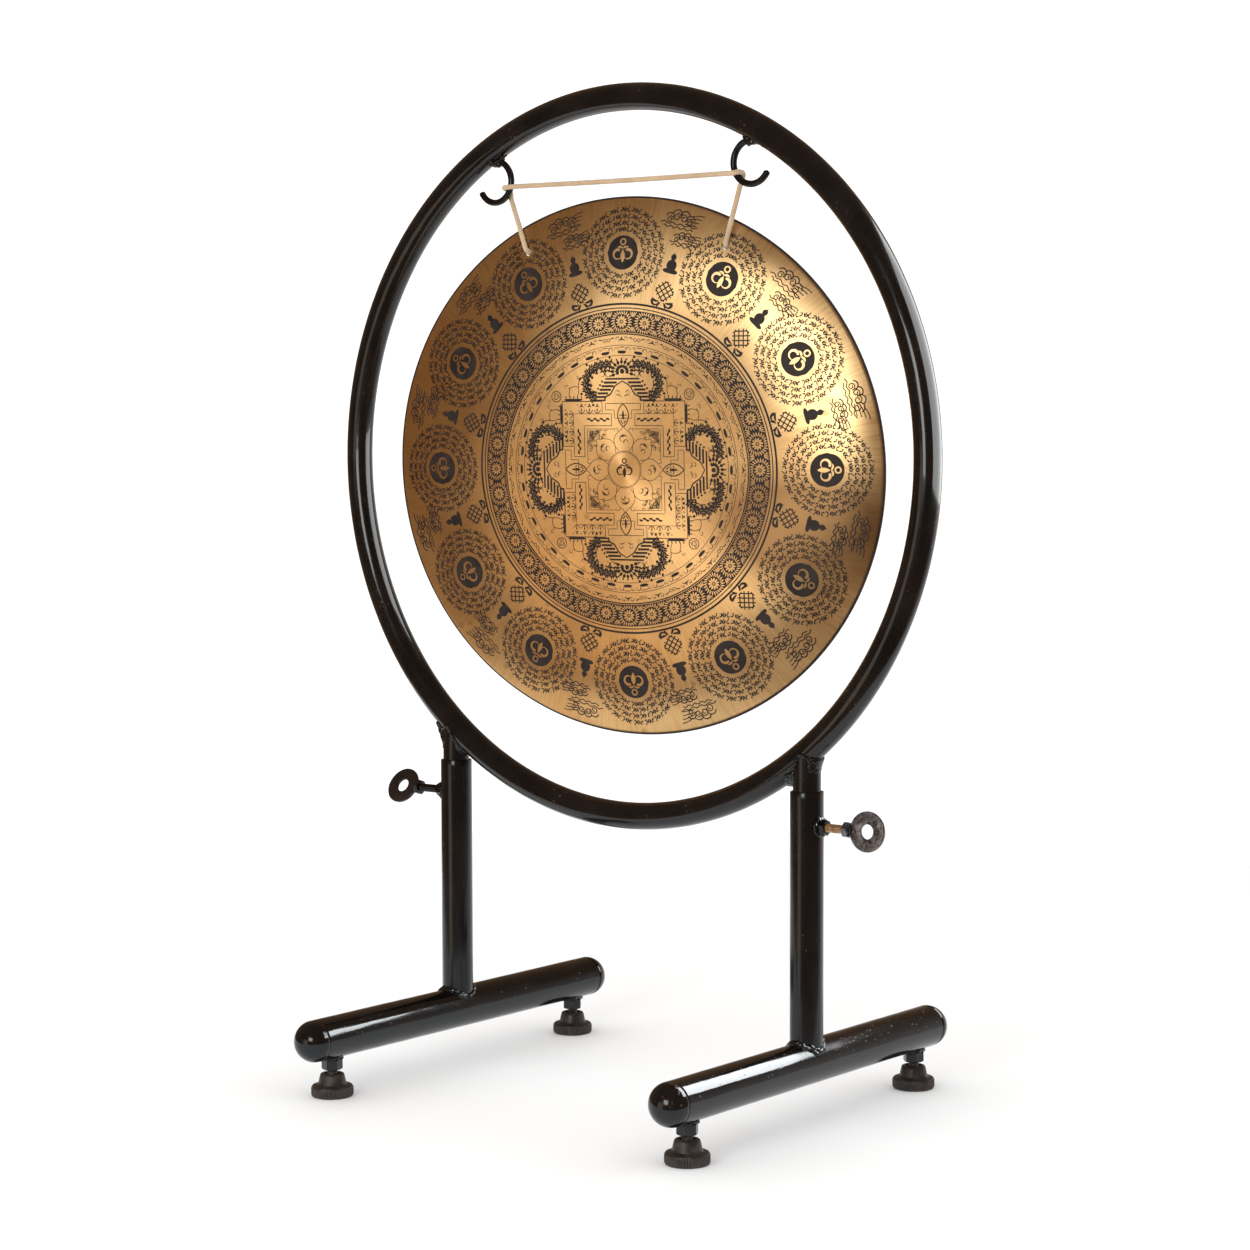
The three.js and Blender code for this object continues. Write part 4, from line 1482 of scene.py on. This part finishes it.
def make_clamp(side_name, side):
    """A clamp screw: its nut on the leg, its shank, and its head with the washer it is turned by."""
    lay = Matrix.Translation((side * LEG_X, 0, CLAMP_Z)) @ spin(90 * side, "Y")
    reach = CLAMP_REACH[side_name]
    clamp, handle = f"{side_name}_clamp", f"{side_name}_clamp_handle"
    nut = hexagon_mesh(flats=CLAMP_FLATS, height=6.5 * MM, hole=4.3 * MM)
    place = lay @ Matrix.Translation((0, 0, LEG_RADIUS + GAP)) @ spin(12, "Z")
    weld_nut = f"{side_name}_weld_nut"
    piece_for(f"{clamp}_nut", weld_nut, nut, ROUGH_PAINT, f"{side_name}_leg", place=place)
    shank = threaded_mesh(
        root=3.35 * MM, crest=3.9 * MM, pitch=1.25 * MM, bottom=STUB_RADIUS + GAP, top=reach - GAP
    )
    thread, slot = THREAD_PAINT[side_name]
    piece_for(f"{clamp}_shank", f"{clamp}_screw", shank, thread, f"{clamp}_shank", 60, lay)
    head = hexagon_mesh(flats=CLAMP_FLATS, height=HEAD_HEIGHT)
    place = lay @ Matrix.Translation((0, 0, reach)) @ spin(RING_TURN[side_name] + 20, "Z")
    screw_head = f"{side_name}_screw_head"
    piece_for(f"{clamp}_head", screw_head, head, HEAD_PAINT[side_name], handle, place=place)
    washer = washer_mesh(RING_RADIUS, RING_HOLE, RING_HALF, RING_FILLET, side)
    centre = LEG_X + (reach + HEAD_HEIGHT + GAP + RING_RADIUS)
    place = Matrix.Translation((side * centre, 0, CLAMP_Z)) @ spin(RING_TURN[side_name], "X") @ spin(90, "X")
    ring, paint = f"{side_name}_ring_handle", RING_PAINT[side_name]
    piece_for(f"{clamp}_ring", ring, washer, paint, handle, degrees=50, place=place)


# ---------------------------------------------------------------- the welds, all under the paint


def ball(centre, radius):
    """One lump of weld."""
    rings = [(radius * math.sin(a), -radius * math.cos(a)) for a in np.linspace(0, math.pi, 9)]
    rings[0], rings[-1] = (0.0, -radius), (0.0, radius)
    verts, faces = turned_mesh(rings, 12)
    return verts + np.array(centre), faces


def lumps_along(path, radius, uneven, jitter, seeded):
    """Overlapping balls along a path, uneven in size and place, for a hand-laid weld."""
    balls = []
    for point in resampled(path, radius * LUMP_SPACING):
        size = radius * (1 + seeded.uniform(-uneven, uneven))
        shift = [seeded.uniform(-jitter, jitter) * radius for _ in range(3)]
        balls.append(ball(np.array(point) + shift, size))
    return balls


def melted(name, parts, body, voxel=0.45 * MM, smoothing=3):
    """Overlapping lumps run together into one painted weld."""
    verts, faces = joined(parts)
    obj = mesh_piece(name, verts, faces, ROUGH_PAINT, body)
    remesh = obj.modifiers.new("remesh", "REMESH")
    remesh.mode = "VOXEL"
    remesh.voxel_size = voxel
    smooth = obj.modifiers.new("smooth", "SMOOTH")
    smooth.iterations = smoothing
    applied(obj)
    obj.data.shade_smooth()


def round_trip(radius, count, place_at):
    """The points place_at(a, b) gives for each (a, b) once round a circle."""
    turns = [2 * math.pi * k / count for k in range(count + 1)]
    return [place_at(radius * math.cos(a), radius * math.sin(a)) for a in turns]


# For each side's stub weld, in millimetres: how far it flares outside the stub and how far down it
# runs there, the same for the fillet inside, and the fillet's biggest lump.
STUB_WELD = {"left": (8.5, 18, 4.0, 6.0, 2.6), "right": (3.2, 10, 9.0, 8.0, 3.2)}


def weld_stub(side_name, side, seeded):
    """Round the stub where it meets the hoop, with a flare outside and a thick fillet inside."""
    flare_depth, flare_drop, fillet_depth, fillet_drop, fillet_lump = STUB_WELD[side_name]

    def seam(x, y):
        return side * LEG_X + x * 1.02, y * 1.02, hoop_underside(abs(side * LEG_X + x), y)

    def lump(outward, y, drop, radius):
        x = side * LEG_X + outward * side
        return ball((x, y, hoop_underside(abs(x), y) - drop), radius)

    parts = lumps_along(round_trip(STUB_RADIUS, 48, seam), 1.8 * MM, 0.2, 0.2, seeded)
    for _ in range(240):
        t, y = seeded.random() ** 1.3, seeded.uniform(-1, 1) * 8.5 * MM
        edge = math.sqrt(STUB_RADIUS**2 - y * y)
        flare = flare_depth * MM * (1 - t) ** 1.6 * seeded.random() ** 0.4
        radius = 2.6 * MM - 0.9 * MM * t
        parts.append(lump(edge + flare - radius * 0.75, y, t * flare_drop * MM, radius))
    for _ in range(240):
        t, y = seeded.random() ** 1.3, seeded.uniform(-1, 0.75) * 9.5 * MM
        edge = math.sqrt(STUB_RADIUS**2 - y * y)
        fillet = fillet_depth * MM * (1 - t) ** 1.4 * seeded.random() ** 0.4
        radius = fillet_lump * MM - 1.2 * MM * t
        parts.append(lump(-edge - fillet + radius * 0.7, y, t * fillet_drop * MM - 0.5 * MM, radius))
    melted(f"{side_name}_stub_weld", parts, "hoop", smoothing=14)


def weld_leg(side_name, side, seeded):
    """Round the upright's foot on the base."""

    def on_base(x, y, lift):
        return side * LEG_X + x, y, BASE_Z + base_rise(x) + lift

    path = round_trip(LEG_RADIUS + 0.4 * MM, 48, lambda x, y: on_base(x, y, 0.6 * MM))
    parts = lumps_along(path, 2.2 * MM, 0.35, 0.35, seeded)
    for _ in range(16):
        a = seeded.uniform(-2.4, -0.4)
        x = (LEG_RADIUS + 2.5 * MM) * math.cos(a)
        y = (LEG_RADIUS + seeded.uniform(1.0, 4.0) * MM) * math.sin(a)
        parts.append(ball(on_base(x, y, -0.2 * MM), seeded.uniform(1.7, 3.0) * MM))
    melted(f"{side_name}_leg_weld", parts, f"{side_name}_leg")


def weld_clamp(side_name, side, seeded):
    """Round the clamp nut on the leg, and where the ring meets the screw's head."""

    def on_leg(y, z):
        return side * (LEG_X + math.sqrt(LEG_RADIUS**2 - y * y) + 0.6 * MM), y, CLAMP_Z + z

    lumps = lumps_along(round_trip(7.6 * MM, 36, on_leg), 1.9 * MM, 0.35, 0.3, seeded)
    melted(f"{side_name}_nut_weld", lumps, f"{side_name}_leg", 0.4 * MM, 2)
    face = LEG_X + (CLAMP_REACH[side_name] + HEAD_HEIGHT)
    twist = math.radians(RING_TURN[side_name])
    parts = []
    for _ in range(34):
        along, out = seeded.uniform(-4.6, 4.6) * MM, seeded.uniform(-2.2, 2.2) * MM
        x = side * (face + seeded.uniform(-0.2, 2.4) * MM)
        y = -along * math.sin(twist) + out * math.cos(twist)
        z = CLAMP_Z + along * math.cos(twist) + out * math.sin(twist)
        parts.append(ball((x, y, z), seeded.uniform(1.1, 1.9) * MM))
    melted(f"{side_name}_handle_weld", parts, f"{side_name}_clamp_handle", 0.35 * MM, 2)


# For each side's hook weld, in millimetres: how far it runs each way, how thick it is, how steeply
# it thins, its biggest lump, and how often it is smoothed.
HOOK_WELD = {"left": (4.4, 5.2, 1.0, 2.8, 2), "right": (3.6, 5.8, 0.7, 2.4, 8)}


def weld_hook(side_name, side, seeded):
    """Where a hook's rod meets the inside of the hoop."""
    run, thick, thinning, biggest, smoothing = HOOK_WELD[side_name]
    middle = np.array([0, HOOP_Z])
    inside = HOOP_RADIUS - HOOP_TUBE
    for k in range(400):
        x, z = hook_point(side_name, side, HOOK_START + 60 * k / 400)
        if inside - math.hypot(x, z - HOOP_Z) > 0.6 * MM:
            break
    out = np.array([x, z - HOOP_Z]) / math.hypot(x, z - HOOP_Z)
    tangent = np.array([-out[1], out[0]])
    parts = []
    for _ in range(60):
        along = seeded.gauss(0, run) * MM
        limit = thick * MM * max(0.1, 1 - (abs(along) / (9 * MM)) ** thinning)
        depth = seeded.uniform(-0.4 * MM, limit)
        p = np.array([x, z]) + out * (0.8 * MM - depth) + tangent * along
        from_middle = math.hypot(*(p - middle))
        if from_middle > inside + 1.2 * MM:
            p = middle + (p - middle) * ((inside + 0.4 * MM) / from_middle)
        size = seeded.uniform(1.5, biggest) * MM
        spread = 2.6 * MM * (1 - 0.5 * max(0.0, depth) / (5.8 * MM))
        parts.append(ball((p[0], seeded.uniform(-spread, spread), p[1]), size))
    melted(f"{side_name}_hook_weld", parts, "hoop", 0.4 * MM, smoothing)


def weld_foot(corner, side, way, body, seeded):
    """Round a foot nut under its base."""

    def under_base(x, y):
        return side * LEG_X + x, way * FOOT_Y + y, BASE_Z - base_rise(x) - 0.4 * MM

    lumps = lumps_along(round_trip(8.8 * MM, 36, under_base), 1.7 * MM, 0.3, 0.3, seeded)
    melted(f"{corner}_nut_weld", lumps, body, 0.45 * MM, 2)


make_hoop()
weld_seed = random.Random(31)
for side_name, side in SIDES.items():
    make_hook(side_name, side)
    make_leg(side_name, side)
    make_clamp(side_name, side)
    weld_stub(side_name, side, weld_seed)
    weld_leg(side_name, side, weld_seed)
    weld_clamp(side_name, side, weld_seed)
    weld_hook(side_name, side, weld_seed)
    for end_name, way in ENDS.items():
        weld_foot(f"{end_name}_{side_name}", side, way, f"{side_name}_leg", weld_seed)


# ---------------------------------------------------------------- floor and light


def add_floor():
    """A pale round floor, set back so that more of it is behind the stand."""
    rings = [(r, 0.0) for r in (0.0, 0.3, 0.6, 0.9, 1.12)]
    verts, faces = turned_mesh(rings, 96)
    verts = verts + np.array((-0.36, 0.54, 0.0))
    floor = mesh_piece("floor", verts, faces, floor_material(), None)


def add_light(name, at, aim, size, power, color=(1, 1, 1), along=(1, 0, 0)):
    """A softbox at a place, facing a point; along is the direction of its long side."""
    data = bpy.data.lights.new(name, "AREA")
    data.shape = "RECTANGLE"
    data.size, data.size_y = size
    data.energy = power
    data.color = color
    light = bpy.data.objects.new(name, data)
    bpy.context.scene.collection.objects.link(light)
    facing = (Vector(at) - Vector(aim)).normalized()
    x = Vector(along)
    x = (x - facing * x.dot(facing)).normalized()
    turn = Matrix((x, facing.cross(x), facing)).transposed()
    light.matrix_world = Matrix.Translation(at) @ turn.to_4x4()
    light.visible_camera = False
    return light


def gleam_only(light, endings):
    """Keeps a light to the gloss of the pieces whose names end so."""
    light.visible_diffuse = False
    lit = bpy.data.collections.new(f"lit_by_{light.name}")
    for obj in bpy.context.scene.objects:
        if obj.name.endswith(endings):
            lit.objects.link(obj)
    light.light_linking.receiver_collection = lit


BACKDROP = (1.18, 1.18, 1.18)
DARK_STUDIO, BRIGHT_STUDIO = (0.21, 0.128, 0.073), (0.9, 0.86, 0.84)
# Which way the bright part of the studio lies.
BRIGHT_SIDE = (0.1, 0.93, -0.35)


def add_world():
    """White for the backdrop and the soft overall light; the dark studio is what glossy paint reflects."""
    world = bpy.data.worlds.new("studio")
    world.use_nodes = True
    tree = world.node_tree
    direction = add_node(tree, "ShaderNodeTexCoord").outputs["Generated"]
    toward = add_node(tree, "ShaderNodeVectorMath", {0: direction, 1: BRIGHT_SIDE}, operation="DOT_PRODUCT")
    inputs = {"Value": toward.outputs["Value"], "From Min": 0.6, "From Max": 0.92}
    fade = add_node(tree, "ShaderNodeMapRange", inputs).outputs["Result"]
    studio = mixed(tree, fade, DARK_STUDIO, BRIGHT_STUDIO)
    is_gloss = add_node(tree, "ShaderNodeLightPath").outputs["Is Glossy Ray"]
    seen = mixed(tree, is_gloss, BACKDROP, studio)
    tree.links.new(seen, tree.nodes["Background"].inputs["Color"])
    bpy.context.scene.world = world


add_floor()
add_world()
strip = add_light(
    "strip_behind",
    at=(0.4247, 0.3225, 0.4686),
    aim=(0.2065, 0.3225, 0.075),
    size=(0.45, 0.585),
    power=12.5,
    along=(0.875, 0, -0.485),
)
gleam_only(strip, ("_base_pipe", "_dome", "_leg_weld", "_nut_weld"))
window = add_light("window_beside", at=(0.9, 0.345, 1.03), aim=(0.34, 0, 1.03), size=(1.53, 1.15), power=36)
gleam_only(window, ("hoop_ring",))
add_light(
    "key",
    at=(0.46, -2.38, 0.88),
    aim=(0, 0, 0.58),
    size=(0.85, 0.8),
    power=15.5,
    color=(1.0, 0.98, 0.94),
)
add_light(
    "front_left",
    at=(-0.62, -2.4, -0.05),
    aim=(0, 0, 0.3),
    size=(1.0, 1.3),
    power=5.2,
    color=(1.0, 0.84, 0.66),
)
bpy.context.scene.view_settings.view_transform = "Standard"
